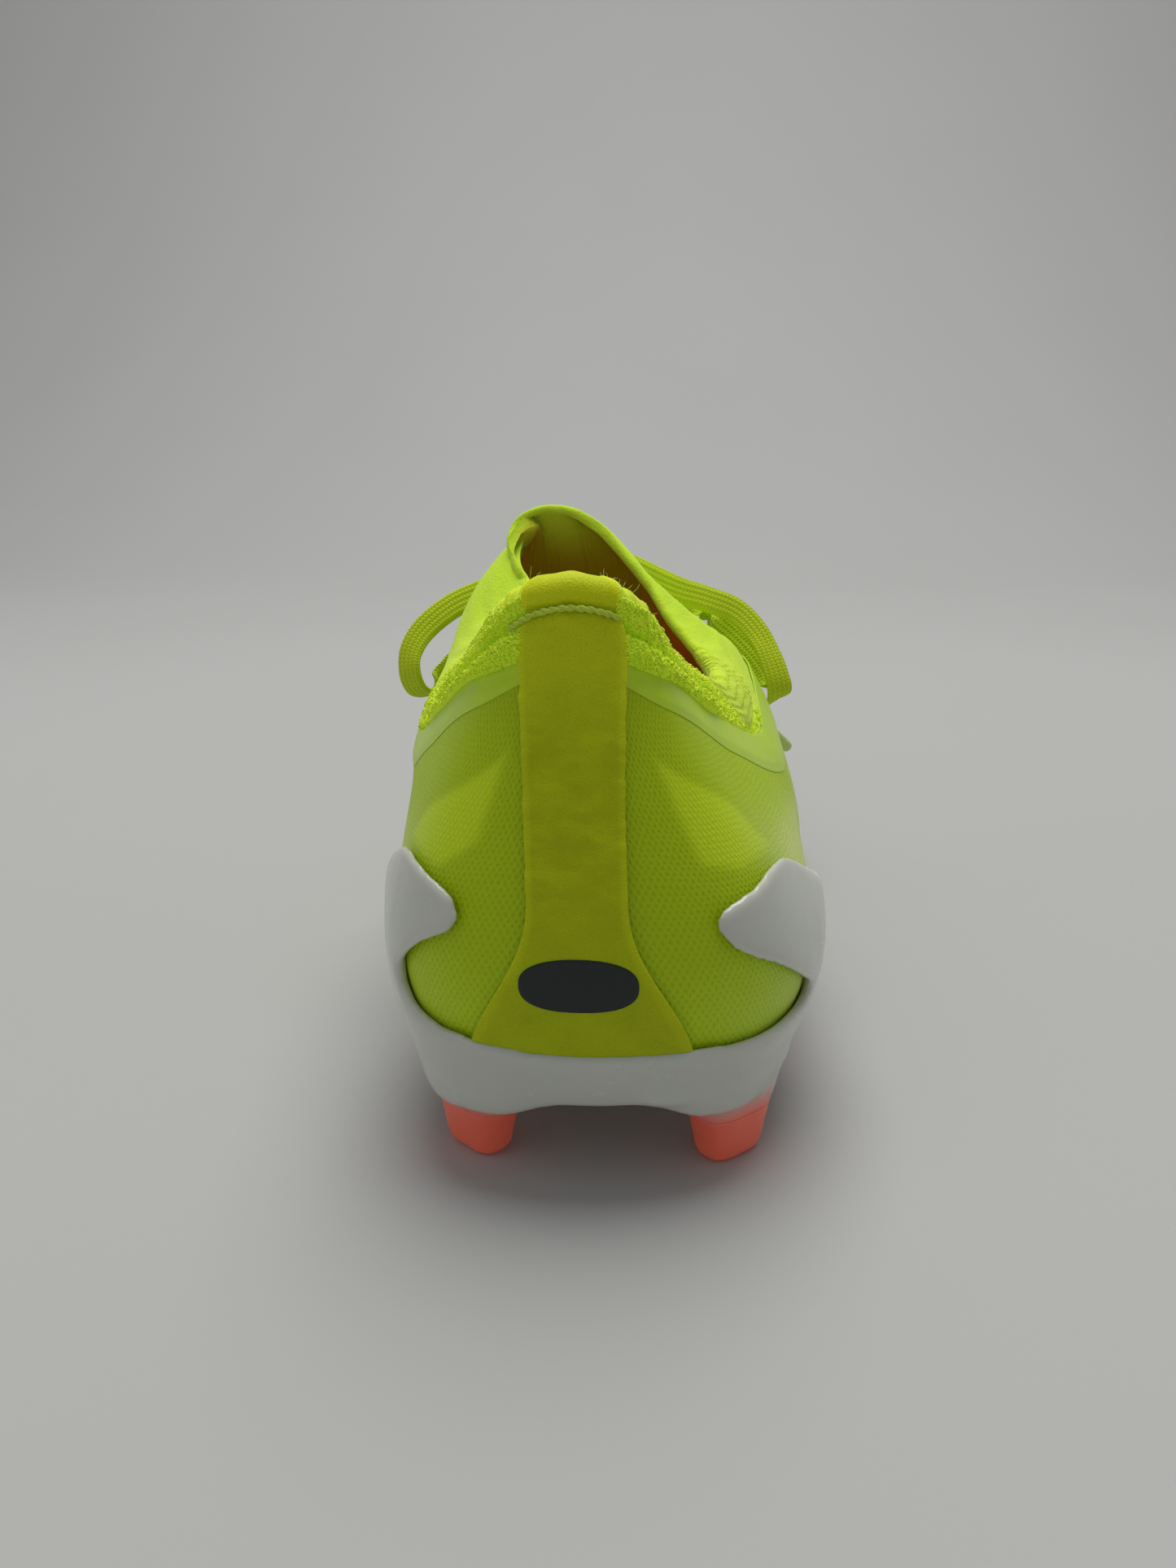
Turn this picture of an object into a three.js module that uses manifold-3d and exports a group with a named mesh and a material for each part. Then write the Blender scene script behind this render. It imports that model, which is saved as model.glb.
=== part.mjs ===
// A football boot for the right foot: a moulded outsole with heel wings and studs, a textile upper over a
// foot form, a knitted collar and tongue, and a flat lace tied in a bow.
// Millimetres. +Z is up, +Y runs from heel to toe, and +X is the outer side of the foot.
// Everything soft is a thin shell laid over one foot form, so each layer only states where it lies on the form
// and how far in or out of it.

import * as THREE from "three";
import { mergeVertices } from "three/addons/utils/BufferGeometryUtils.js";
import Module from "manifold-3d";

const wasm = await Module();
wasm.setup();

// ---------------------------------------------------------------- driving dimensions

const LENGTH = 277; // foot form, heel back to toe tip, along the sole's edge
const HEEL_WIDTH = 63; // of the foot form's sole
const WAIST_WIDTH = 57;
const BALL_WIDTH = 86;
const HEEL_HEIGHT = 92.5; // top of the collar above the ground
const ANKLE_HEIGHT = 71;
const TONGUE_HEIGHT = 101;
const INSTEP_HEIGHT = 70;
const BALL_HEIGHT = 50;
const TOE_HEIGHT = 33;
const SOLE_LIFT = 18.5; // the foot form's sole edge at the heel, above the ground
const TOE_SPRING = 3; // how much higher the sole edge is at the toe tip

const LAYER_GAP = 0.45; // between two layers that are glued together on the real boot
const SKIN = 1.2; // upper's textile and film
const COUNTER = 1.3; // stiffener inside the heel
const LINING = 1;
const FOAM = 1.6; // collar padding, pressed
const FILM = 0.4; // welded collar film
const STRIP = 0.8; // back strip
const EYESTAY = 0.7;
const SOLE_WALL = 1.7; // moulded wings and sole edge
const SOLE_PLATE = 3.4;
const BOARD = 1.5; // insole board
const SOCKLINER = 3.8;
const BOARD_INSET = 2.2; // in from the foot form's edge
const SOCKLINER_INSET = 4.2;
const SOCKLINER_TOE_INSET = 8;

const STRIP_WIDTH = 13;
const STRIP_FOOT_WIDTH = 31;
const BADGE_WIDTH = 17;
const BADGE_HEIGHT = 7;
const STUD_TIP = 8; // height of the coloured stud tips
const STUD_JOIN = 0.3; // bond line between a tip and its root
const EYELET_RADIUS = 2.2;
const EYELETS = 5;
const LACE_WIDTH = 6;
const LACE_THICKNESS = 1.3;
const AGLET_RADIUS = 1.6;
const AGLET_LENGTH = 18;

const FLEX_STATION = 0.74; // where the forefoot bends
const FLEX_ANGLE = 25; // degrees
const FLEX_GAP = 0.4;

// ---------------------------------------------------------------- the foot form

// One rib for each station t along the boot, from 0 at the heel's back to 1 at the toe's tip. A rib starts at the
// sole's edge and ends at the top: on the collar's edge behind the tongue, and on the ridge of the instep and toe
// in front of it. Each rib is a cubic curve. Pairs are [outer side, inner side].
//   y, skew       the sole edge's place along the boot, and how much further forward it is on the inner side
//   bend, half    the middle of the sole across the boot, and half its width
//   z             the sole edge's height above the heel's
//   x, along, top the end: its place across for each side, its place along, and its height for each side
//   rise, flare   the start handle, up and out
//   lean, crown   the end handle, down, and out for each side
//   slope         of the ridge, height over length
const L = LENGTH;
const H = HEEL_WIDTH / 2;
const W = WAIST_WIDTH / 2;
const B = BALL_WIDTH / 2;
const level = (height) => [height, height];
const between = (share) => share * INSTEP_HEIGHT + (1 - share) * BALL_HEIGHT;
const RIBS = [
  { t: 0, y: 0.016 * L, skew: 0, bend: 0, half: 0, z: 0, x: [-1.5, -1.5], along: 7, top: level(HEEL_HEIGHT),
    rise: 28, flare: 8, lean: 28, crown: [-3, -3], slope: 0 },
  { t: 0.1, y: 0.045 * L, skew: 0, bend: 1, half: 0.73 * H, z: 0, x: [8, -12], along: 14.5,
    top: level(HEEL_HEIGHT - 4), rise: 25, flare: 10, lean: 27, crown: [3, 3], slope: 0 },
  { t: 0.18, y: 0.13 * L, skew: 0, bend: 3, half: H, z: 0, x: [13, -19.5], along: 35,
    top: level(HEEL_HEIGHT - 12.5), rise: 21, flare: 10, lean: 24, crown: [10, 9], slope: 0 },
  { t: 0.28, y: 0.24 * L, skew: 0, bend: 5, half: 0.98 * W, z: 0.5, x: [18, -24], along: 61,
    top: level(ANKLE_HEIGHT), rise: 20, flare: 11, lean: 18, crown: [19, 20], slope: 0 },
  { t: 0.34, y: 0.3 * L, skew: 0, bend: 6, half: 0.98 * W, z: 1, x: [12, -21.5], along: 80,
    top: [ANKLE_HEIGHT + 8.5, ANKLE_HEIGHT + 11], rise: 20, flare: 10, lean: 17, crown: [26, 20], slope: 0 },
  { t: 0.37, y: 0.332 * L, skew: 0, bend: 6.3, half: 0.99 * W, z: 1.2, x: [2.5, -18.5], along: 92,
    top: [TONGUE_HEIGHT - 10.5, TONGUE_HEIGHT - 7], rise: 20, flare: 9, lean: 12, crown: [31, 19], slope: 0 },
  { t: 0.4, y: 0.365 * L, skew: 0, bend: 6.5, half: W, z: 1.5, x: [-10, -10], along: 99, top: level(TONGUE_HEIGHT),
    rise: 21, flare: 8, lean: 9, crown: [30, 20], slope: -1.2 },
  { t: 0.47, y: 0.44 * L, skew: 2, bend: 6.5, half: 1.09 * W, z: 1, x: [-6, -6], along: 116,
    top: level(INSTEP_HEIGHT), rise: 20, flare: 6, lean: 2, crown: [26, 22], slope: -1.1 },
  { t: 0.56, y: 0.53 * L, skew: 4, bend: 5, half: 0.86 * B, z: 0, x: [-3, -3], along: 142,
    top: level(between(0.5)), rise: 19, flare: 5, lean: 0, crown: [24, 24], slope: -0.5 },
  { t: 0.64, y: 0.615 * L, skew: 6, bend: 3, half: 0.96 * B, z: -2, x: [-3, -3], along: 167,
    top: level(between(0.25)), rise: 18, flare: 4, lean: 0, crown: [25, 25], slope: -0.35 },
  { t: 0.74, y: 0.722 * L, skew: 6, bend: 0, half: B, z: -3.5, x: [-5, -5], along: 201, top: level(BALL_HEIGHT),
    rise: 16, flare: 3.5, lean: 0, crown: [26, 26], slope: -0.3 },
  { t: 0.85, y: 0.848 * L, skew: 5, bend: -4, half: 0.88 * B, z: -3, x: [-8, -8], along: 236,
    top: level((BALL_HEIGHT + TOE_HEIGHT) / 2), rise: 13, flare: 3, lean: 0, crown: [23, 23], slope: -0.3 },
  { t: 0.93, y: 0.947 * L, skew: 3, bend: -8, half: 0.6 * B, z: 0, x: [-10, -10], along: 256,
    top: level(TOE_HEIGHT + 4.5), rise: 10, flare: 2.5, lean: 0, crown: [15, 15], slope: -0.4 },
  { t: 1, y: L, skew: 0, bend: -12, half: 0, z: TOE_SPRING, x: [-11, -11], along: 264, top: level(TOE_HEIGHT),
    rise: 6, flare: 2, lean: 0, crown: [9, 9], slope: -0.55 },
];

// The ends' places along are given for a form of this length, and stretch with it.
const ALONG_LENGTH = 277;

// A rib on one side, as the numbers that are blended between ribs. side is 1 outside and -1 inside.
function ribOn(rib, side) {
  const k = side > 0 ? 0 : 1;
  const start = [rib.bend + side * rib.half, rib.y + k * rib.skew, SOLE_LIFT + rib.z];
  const end = [rib.x[k], (rib.along * L) / ALONG_LENGTH, rib.top[k]];
  return [...start, ...end, rib.rise, rib.flare, rib.lean, rib.crown[k], rib.slope];
}

// Every rib in order round the boot. u runs from -1 at the toe, up the inner side, through 0 at the heel's back
// and down the outer side to 1 at the toe again.
const inside = RIBS.slice(1).reverse().map((rib) => ({ u: -rib.t, values: ribOn(rib, -1) }));
const outside = RIBS.slice(0, -1).map((rib) => ({ u: rib.t, values: ribOn(rib, 1) }));
const ROUND = [...inside, ...outside];

const wrap = (u) => ((((u + 1) % 2) + 2) % 2) - 1;
const mix = (a, b, k) => a + (b - a) * k;

// A closed cubic spline through knots {u, values}, with the period 2.
function blend(knots, where) {
  const u = wrap(where);
  const n = knots.length;
  let i = knots.findIndex((knot, k) => (k + 1 < n ? knots[k + 1].u : knots[0].u + 2) > u);
  if (i < 0) i = n - 1;
  const knot = (k) => {
    const turns = Math.floor(k / n);
    return { u: knots[k - turns * n].u + 2 * turns, values: knots[k - turns * n].values };
  };
  const [a, b, c, d] = [i - 1, i, i + 1, i + 2].map(knot);
  const span = c.u - b.u;
  const k = (u - b.u) / span;
  return b.values.map((value, m) => {
    const from = ((c.values[m] - a.values[m]) / (c.u - a.u)) * span;
    const to = ((d.values[m] - value) / (d.u - b.u)) * span;
    const k2 = k * k;
    const k3 = k2 * k;
    return (
      (2 * k3 - 3 * k2 + 1) * value + (k3 - 2 * k2 + k) * from + (3 * k2 - 2 * k3) * c.values[m] + (k3 - k2) * to
    );
  });
}

// The direction straight out from the sole's edge, in plan.
function outward(u) {
  const step = 0.004;
  const [ax, ay] = blend(ROUND, u - step);
  const [bx, by] = blend(ROUND, u + step);
  return new THREE.Vector3(by - ay, ax - bx, 0).normalize();
}

// A point of the foot form: u round the boot, v up the rib.
function form(u, v) {
  const [x, y, z, tx, ty, tz, rise, flare, lean, crown, slope] = blend(ROUND, u);
  const out = outward(u);
  const curve = new THREE.CubicBezierCurve3(
    new THREE.Vector3(x, y, z),
    new THREE.Vector3(x + out.x * flare, y + out.y * flare, z + rise),
    new THREE.Vector3(tx + out.x * crown, ty + out.y * crown, tz - lean + out.y * crown * slope),
    new THREE.Vector3(tx, ty, tz),
  );
  return curve.getPoint(v);
}

const RIDGE_FROM = 0.405;
const onRidge = (u, v) => v > 0.999 && Math.abs(wrap(u)) > RIDGE_FROM;

// The form's normal, facing out. Along the ridge both sides share one.
function normal(u, v) {
  if (onRidge(u, v)) {
    const t = Math.min(Math.abs(wrap(u)), 0.985);
    return rawNormal(t, 0.985).add(rawNormal(-t, 0.985)).normalize();
  }
  return rawNormal(u, v);
}

function rawNormal(u, v) {
  const step = 0.004;
  const low = Math.max(v - step, 0);
  const high = Math.min(v + step, 1);
  const round = form(u + step, v).sub(form(u - step, v));
  const up = form(u, high).sub(form(u, low));
  return round.cross(up).normalize();
}

const lifted = (u, v, out) => form(u, v).addScaledVector(normal(u, v), out);

// A number that changes with the station, from pairs [t, value], the same on both sides.
function along(pairs) {
  const knots = [
    ...pairs.filter(([t]) => t > 0).reverse().map(([t, value]) => ({ u: -t, values: [value] })),
    ...pairs.filter(([t]) => t < 1).map(([t, value]) => ({ u: t, values: [value] })),
  ];
  return (u) => blend(knots, u)[0];
}

// ---------------------------------------------------------------- solids

// A closed solid from triangles, facing out, with shared corners merged and empty faces dropped.
function closed(positions, triangles) {
  const loose = new THREE.BufferGeometry()
    .setAttribute("position", new THREE.Float32BufferAttribute(positions.flatMap((p) => [p.x, p.y, p.z]), 3))
    .setIndex(triangles.flat());
  const merged = mergeVertices(loose, 1e-3);
  const at = merged.getAttribute("position");
  const point = (i) => new THREE.Vector3().fromBufferAttribute(at, i);
  const kept = [];
  let volume = 0;
  for (let i = 0; i < merged.index.count; i += 3) {
    const [a, b, c] = [0, 1, 2].map((k) => merged.index.getX(i + k));
    if (a === b || b === c || a === c) continue;
    kept.push([a, b, c]);
    volume += point(a).dot(point(b).cross(point(c)));
  }
  const facing = volume < 0 ? kept.map(([a, b, c]) => [a, c, b]) : kept;
  return merged.setIndex(facing.flat());
}

// Stations that every layer shares, so neighbouring layers have the same facets and keep their distance.
const HEEL_STATIONS = [0, 0.022, 0.044, 0.066, 0.088, 0.112, 0.138, 0.166, 0.2, 0.24, 0.28, 0.32];
const FRONT_STATIONS = [0.36, 0.405, 0.45, 0.5, 0.56, 0.64, 0.7, 0.75, 0.8, 0.85, 0.89, 0.92, 0.945, 0.965, 0.985, 1];
const STATIONS = [...HEEL_STATIONS, ...FRONT_STATIONS];
const BOTH_SIDES = [...STATIONS.slice(1).reverse().map((t) => -t), ...STATIONS];

// The shared stations from one place round the boot to another, with those two at the ends.
function stations(from, to) {
  const [low, high] = [Math.min(from, to), Math.max(from, to)];
  const between = BOTH_SIDES.filter((u) => u > low + 0.006 && u < high - 0.006);
  const all = [low, ...between, high];
  return from < to ? all : all.reverse();
}

const even = (count) => Array.from({ length: count + 1 }, (_, i) => i / count);

// A thin solid between two grids of points. place(a, b, side) gives the outer (side 1) and inner (side 0) point for
// a from as and b from bs. Borders in folded are left open, because there the grid meets itself.
function slab(as, bs, place, folded = {}) {
  const [rows, columns] = [as.length - 1, bs.length - 1];
  const positions = [0, 1].flatMap((side) => as.flatMap((a) => bs.map((b) => place(a, b, side))));
  const id = (side, i, j) => side * (rows + 1) * (columns + 1) + i * (columns + 1) + j;
  const triangles = [];
  const quad = (a, b, c, d) => triangles.push([a, b, c], [a, c, d]);
  for (let i = 0; i < rows; i++)
    for (let j = 0; j < columns; j++) {
      quad(id(1, i, j), id(1, i + 1, j), id(1, i + 1, j + 1), id(1, i, j + 1));
      quad(id(0, i, j), id(0, i, j + 1), id(0, i + 1, j + 1), id(0, i + 1, j));
    }
  for (let i = 0; i < rows; i++) {
    quad(id(0, i, 0), id(0, i + 1, 0), id(1, i + 1, 0), id(1, i, 0));
    quad(id(0, i + 1, columns), id(0, i, columns), id(1, i, columns), id(1, i + 1, columns));
  }
  for (let j = 0; j < columns; j++) {
    if (!folded.start) quad(id(0, 0, j + 1), id(0, 0, j), id(1, 0, j), id(1, 0, j + 1));
    if (!folded.end) quad(id(0, rows, j), id(0, rows, j + 1), id(1, rows, j + 1), id(1, rows, j));
  }
  return closed(positions, triangles);
}

// A layer on the form from u0 to u1, between two heights given as functions of u.
function layer({ u: [u0, u1], low, high, inner, outer, columns }) {
  return slab(stations(u0, u1), even(columns), (u, b, side) =>
    lifted(u, mix(low(u), high(u), b), side ? outer : inner),
  );
}

// A layer over the ridge, from t0 to t1, reaching down to low(t) on both sides. One that ends at the toe's tip
// meets itself there.
function saddle({ t: [t0, t1], low, inner, outer, columns }) {
  return slab(stations(t0, t1), even(columns), (t, b, side) => {
    const across = 1 - 2 * b;
    const v = mix(1, low(t), Math.abs(across));
    return lifted(across < 0 ? -t : t, v, side ? outer : inner);
  }, { end: t1 === 1 });
}

// A flat-bottomed layer inside the sole's edge, from one height above that edge to another.
function bed({ inset, from, to, columns }) {
  const edge = (u) => form(u, 0).addScaledVector(outward(u), -inset(Math.abs(u)));
  return slab(STATIONS, even(columns), (t, b, side) => {
    const point = edge(t).lerp(edge(-t), b);
    point.z += side ? to : from;
    return point;
  }, { start: true, end: true });
}

// A solid lofted through level convex outlines, each {z, points}.
function loft(levels) {
  const n = levels[0].points.length;
  const positions = levels.flatMap(({ z, points }) => points.map((p) => new THREE.Vector3(p.x, p.y, z)));
  const triangles = [];
  for (let k = 0; k + 1 < levels.length; k++)
    for (let i = 0; i < n; i++) {
      const [a, b] = [k * n + i, k * n + ((i + 1) % n)];
      triangles.push([a, b, b + n], [a, b + n, a + n]);
    }
  const last = (levels.length - 1) * n;
  for (let i = 1; i + 1 < n; i++) triangles.push([0, i + 1, i], [last, last + i, last + i + 1]);
  return closed(positions, triangles);
}

// A flat band along points, each {point, up, width}, as wide as stated and as thick as thickness.
function band(stops, thickness) {
  const sides = stops.map(({ point, up }, i) => {
    const ahead = stops[Math.min(i + 1, stops.length - 1)].point;
    const behind = stops[Math.max(i - 1, 0)].point;
    return ahead.clone().sub(behind).normalize().cross(up).normalize();
  });
  return slab([...stops.keys()], even(2), (i, b, side) => {
    const { point, up, width } = stops[i];
    const crown = b === 0.5 ? thickness / 2 : thickness / 3;
    return point.clone()
      .addScaledVector(sides[i], (b - 0.5) * width)
      .addScaledVector(up, side ? crown : -crown);
  });
}

// three.js geometry to a manifold solid and back, for cuts and joins.
function solid(geometry) {
  const bare = geometry.clone();
  bare.deleteAttribute("normal");
  bare.deleteAttribute("uv");
  const merged = mergeVertices(bare, 1e-3);
  return new wasm.Manifold(new wasm.Mesh({
    numProp: 3,
    vertProperties: merged.getAttribute("position").array,
    triVerts: new Uint32Array(merged.index.array),
  }));
}

function geometryOf(made) {
  const { vertProperties, triVerts } = made.getMesh();
  return new THREE.BufferGeometry()
    .setAttribute("position", new THREE.BufferAttribute(new Float32Array(vertProperties), 3))
    .setIndex(new THREE.BufferAttribute(new Uint32Array(triVerts), 1));
}

const joined = (...geometries) => geometryOf(geometries.map(solid).reduce((whole, next) => whole.add(next)));
const cut = (geometry, ...tools) =>
  geometryOf(tools.map(solid).reduce((whole, tool) => whole.subtract(tool), solid(geometry)));
const common = (geometry, tool) => geometryOf(solid(geometry).intersect(solid(tool)));

// ---------------------------------------------------------------- materials

const finish = (color, roughness) => new THREE.MeshStandardMaterial({ color, roughness, metalness: 0 });
const LOOKS = {
  skin: finish(0xb9dc14, 0.5),
  film: finish(0xbfe03a, 0.35),
  strip: finish(0xb4c80f, 0.7),
  badge: finish(0x0d1a16, 0.4),
  knit: finish(0xc6ef2e, 0.95),
  lace: finish(0xc2ea2a, 0.85),
  foam: finish(0xd8dcc8, 0.95),
  lining: finish(0xd9a21c, 0.9),
  sockliner: finish(0xff6a3c, 0.85),
  board: finish(0xe8e6dc, 0.8),
  stiffener: finish(0xf2f2ee, 0.6),
  sole: finish(0xe9ece4, 0.25),
  tip: finish(0xff5a3a, 0.3),
  aglet: finish(0xd6e86a, 0.25),
};

const boot = new THREE.Group();

function add(name, geometry, look) {
  geometry.computeVertexNormals();
  const mesh = new THREE.Mesh(geometry, LOOKS[look]);
  mesh.name = name;
  boot.add(mesh);
}

const always = (value) => () => value;
const SIDES = { outer: 1, inner: -1 };

// ---------------------------------------------------------------- upper

// The skin's upper edge: round the heel, down past the ankle, and forward along the lacing to the vamp.
const THROAT_END = 0.635;
const skinEdge = along([
  [0, 0.87], [0.1, 0.845], [0.18, 0.78], [0.28, 0.74], [0.34, 0.7], [0.4, 0.64], [0.47, 0.65], [0.56, 0.7],
  [THROAT_END, 0.76], [0.8, 0.8], [1, 0.8],
]);
const SEAM = 0.0025; // half the gap between two panels, as a share round the boot
const VAMP = [THROAT_END + SEAM, FLEX_STATION + 0.015];
const eyeletStations = Array.from({ length: EYELETS }, (_, i) => mix(0.442, 0.604, i / (EYELETS - 1)));
const EYELET_DROP = 0.075; // below the skin's edge

function eyeletDrill(side, t) {
  const v = skinEdge(t) - EYELET_DROP;
  const drill = new THREE.CylinderGeometry(EYELET_RADIUS, EYELET_RADIUS, 12, 12);
  const turn = new THREE.Quaternion().setFromUnitVectors(new THREE.Vector3(0, 1, 0), normal(side * t, v));
  const place = form(side * t, v);
  return drill.applyQuaternion(turn).translate(place.x, place.y, place.z);
}

const drills = Object.fromEntries(
  Object.entries(SIDES).map(([name, side]) => [name, eyeletStations.map((t) => eyeletDrill(side, t))]),
);

for (const [name, side] of Object.entries(SIDES)) {
  const quarter = layer({
    u: [side * SEAM, side * (THROAT_END - SEAM)],
    low: always(0),
    high: skinEdge,
    inner: -SKIN,
    outer: 0,
    columns: 6,
  });
  add(`upper_quarter_${name}`, cut(quarter, ...drills[name]), "skin");

  const stay = layer({
    u: [side * 0.39, side * (THROAT_END - 0.008)],
    low: (u) => skinEdge(u) - 2 * EYELET_DROP,
    high: (u) => skinEdge(u) - 0.004,
    inner: LAYER_GAP,
    outer: LAYER_GAP + EYESTAY,
    columns: 2,
  });
  add(`eyestay_${name}`, cut(stay, ...drills[name]), "film");
}

add("upper_vamp", saddle({
  t: VAMP, low: always(0), inner: -SKIN, outer: 0, columns: 12,
}), "skin");
add("toe_box", saddle({
  t: [FLEX_STATION + 0.02, 1], low: always(0), inner: -SKIN, outer: 0, columns: 12,
}), "skin");
add("toe_puff", saddle({
  t: [0.87, 1], low: always(1 / 3), inner: -SKIN - LAYER_GAP - LINING, outer: -SKIN - LAYER_GAP, columns: 8,
}), "stiffener");

// ---------------------------------------------------------------- heel

const STRIP_BOTTOM = 0.125;
const STRIP_TOP = 0.985;

// Where round the heel a point lies a given distance across from the middle, at height v.
function roundAt(v, across) {
  const middle = form(0, v).x;
  let [near, far] = [0, 0.2];
  for (let i = 0; i < 30; i++) {
    const u = (near + far) / 2;
    if (form(u, v).x - middle < across) near = u;
    else far = u;
  }
  return near;
}

const flareOf = (v) => Math.max(0, 1 - (v - STRIP_BOTTOM) / 0.17) ** 1.6;
const stripHalf = (v) => mix(STRIP_WIDTH, STRIP_FOOT_WIDTH, flareOf(v)) / 2;

const stripReach = (v) => roundAt(v, stripHalf(v));

add("heel_strip", slab(even(12), even(6), (a, b, side) => {
  const v = mix(STRIP_BOTTOM, STRIP_TOP, a);
  const u = mix(-1, 1, b) * stripReach(v);
  return lifted(u, v, LAYER_GAP + (side ? STRIP : 0));
}), "strip");

const BADGE_MIDDLE = 0.26;
add("heel_badge", slab(even(4), even(6), (a, b, side) => {
  const v = BADGE_MIDDLE + (a - 0.5) * (BADGE_HEIGHT / 78);
  const shorter = Math.sqrt(Math.max(0.2, 1 - (2 * a - 1) ** 2));
  const u = mix(-1, 1, b) * roundAt(v, (BADGE_WIDTH / 2) * shorter);
  return lifted(u, v, 2 * LAYER_GAP + STRIP + (side ? 0.3 : -0.1));
}), "badge");

const filmDepth = along([[0, 0.045], [0.1, 0.06], [0.18, 0.1], [0.28, 0.15], [0.4, 0.14], [1, 0.14]]);
for (const [name, side] of Object.entries(SIDES)) {
  const start = roundAt(0.8, STRIP_WIDTH / 2 + 1);
  add(`collar_film_${name}`, layer({
    u: [side * start, side * 0.375],
    low: (u) => skinEdge(u) - filmDepth(u),
    high: (u) => skinEdge(u) - 0.006,
    inner: LAYER_GAP,
    outer: LAYER_GAP + FILM,
    columns: 2,
  }), "film");
}

add("heel_counter", layer({
  u: [-0.17, 0.17],
  low: always(0.05),
  high: along([[0, 0.5], [0.1, 0.48], [0.17, 0.36], [0.3, 0.3], [1, 0.3]]),
  inner: -SKIN - LAYER_GAP - COUNTER,
  outer: -SKIN - LAYER_GAP,
  columns: 4,
}), "stiffener");

const LINING_OUT = -SKIN - 2 * LAYER_GAP - FOAM;
add("heel_lining", layer({
  u: [-0.3, 0.3],
  low: always(0.13),
  high: always(0.95),
  inner: LINING_OUT - LINING,
  outer: LINING_OUT,
  columns: 5,
}), "lining");

for (const [name, side] of Object.entries(SIDES)) {
  add(`collar_foam_${name}`, layer({
    u: [side * 0.012, side * 0.2],
    low: (u) => skinEdge(u) - 0.25,
    high: always(0.93),
    inner: -SKIN - LAYER_GAP - FOAM,
    outer: -SKIN - LAYER_GAP,
    columns: 3,
  }), "foam");
}

// ---------------------------------------------------------------- collar and tongue

const COLLAR_SPAN = 0.385;
add("collar_knit", layer({
  u: [-COLLAR_SPAN, COLLAR_SPAN],
  low: (u) => skinEdge(u) + 0.008,
  high: always(0.985),
  inner: -SKIN,
  outer: 0,
  columns: 3,
}), "knit");

const TONGUE_OUT = -SKIN - 2 * LAYER_GAP;
add("tongue", saddle({
  t: [COLLAR_SPAN + 0.012, THROAT_END + 0.02],
  low: (t) => skinEdge(t) - 0.03,
  inner: TONGUE_OUT - 1.4,
  outer: TONGUE_OUT,
  columns: 8,
}), "knit");

// ---------------------------------------------------------------- sole

const soleEdge = along([
  [0, 0.1], [0.08, 0.105], [0.13, 0.115], [0.152, 0.15], [0.172, 0.32], [0.195, 0.37], [0.25, 0.34], [0.31, 0.26],
  [0.4, 0.18], [0.5, 0.14], [0.64, 0.13], [0.74, 0.13], [0.85, 0.15], [0.93, 0.19], [1, 0.27],
]);

const SIDE_COLUMNS = 4;
const SOLE_COLUMNS = 6;
const TRAY_COLUMNS = 2 * SIDE_COLUMNS + SOLE_COLUMNS;

// The outsole's tray: up one side, under the foot, and up the other.
const tray = slab(STATIONS, [...Array(TRAY_COLUMNS + 1).keys()], (t, column, side) => {
  const far = column > TRAY_COLUMNS / 2;
  const fromRim = far ? TRAY_COLUMNS - column : column;
  const out = LAYER_GAP + (side ? SOLE_WALL : 0);
  if (fromRim < SIDE_COLUMNS) {
    const v = soleEdge(t) * (1 - fromRim / SIDE_COLUMNS);
    return lifted(far ? -t : t, v, out);
  }
  const corner = (u) => form(u, 0).addScaledVector(outward(u), side ? 0.4 * SOLE_WALL : LAYER_GAP);
  const share = (column - SIDE_COLUMNS) / SOLE_COLUMNS;
  const point = corner(t).lerp(corner(-t), share);
  point.z -= side ? SOLE_PLATE : LAYER_GAP;
  return point;
}, { start: true, end: true });

const WING_NOSE = 0.07;
const wingLow = (t) => mix(0.27, 0.1, Math.max(0, (t - WING_NOSE) / 0.1) ** 1.2);
const wingHigh = (t) => mix(0.31, 0.37, Math.min(1, (t - WING_NOSE) / 0.09));
const wing = (side) => layer({
  u: [side * WING_NOSE, side * 0.185],
  low: (u) => wingLow(Math.abs(u)),
  high: (u) => wingHigh(Math.abs(u)),
  inner: LAYER_GAP,
  outer: LAYER_GAP + SOLE_WALL,
  columns: 3,
});

// A stud's outline: a rounded blade, length along its own x, turned by angle about z.
function blade(x, y, angle, length, width) {
  const shape = [
    [0.5, -0.12], [0.5, 0.12], [0.32, 0.4], [0, 0.5], [-0.34, 0.4], [-0.5, 0.14], [-0.5, -0.14], [-0.34, -0.4],
    [0, -0.5], [0.32, -0.4],
  ];
  const turn = THREE.MathUtils.degToRad(angle);
  return shape.map(([a, b]) =>
    new THREE.Vector2(a * length, b * width).rotateAround(new THREE.Vector2(), turn).add(new THREE.Vector2(x, y)),
  );
}

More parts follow.
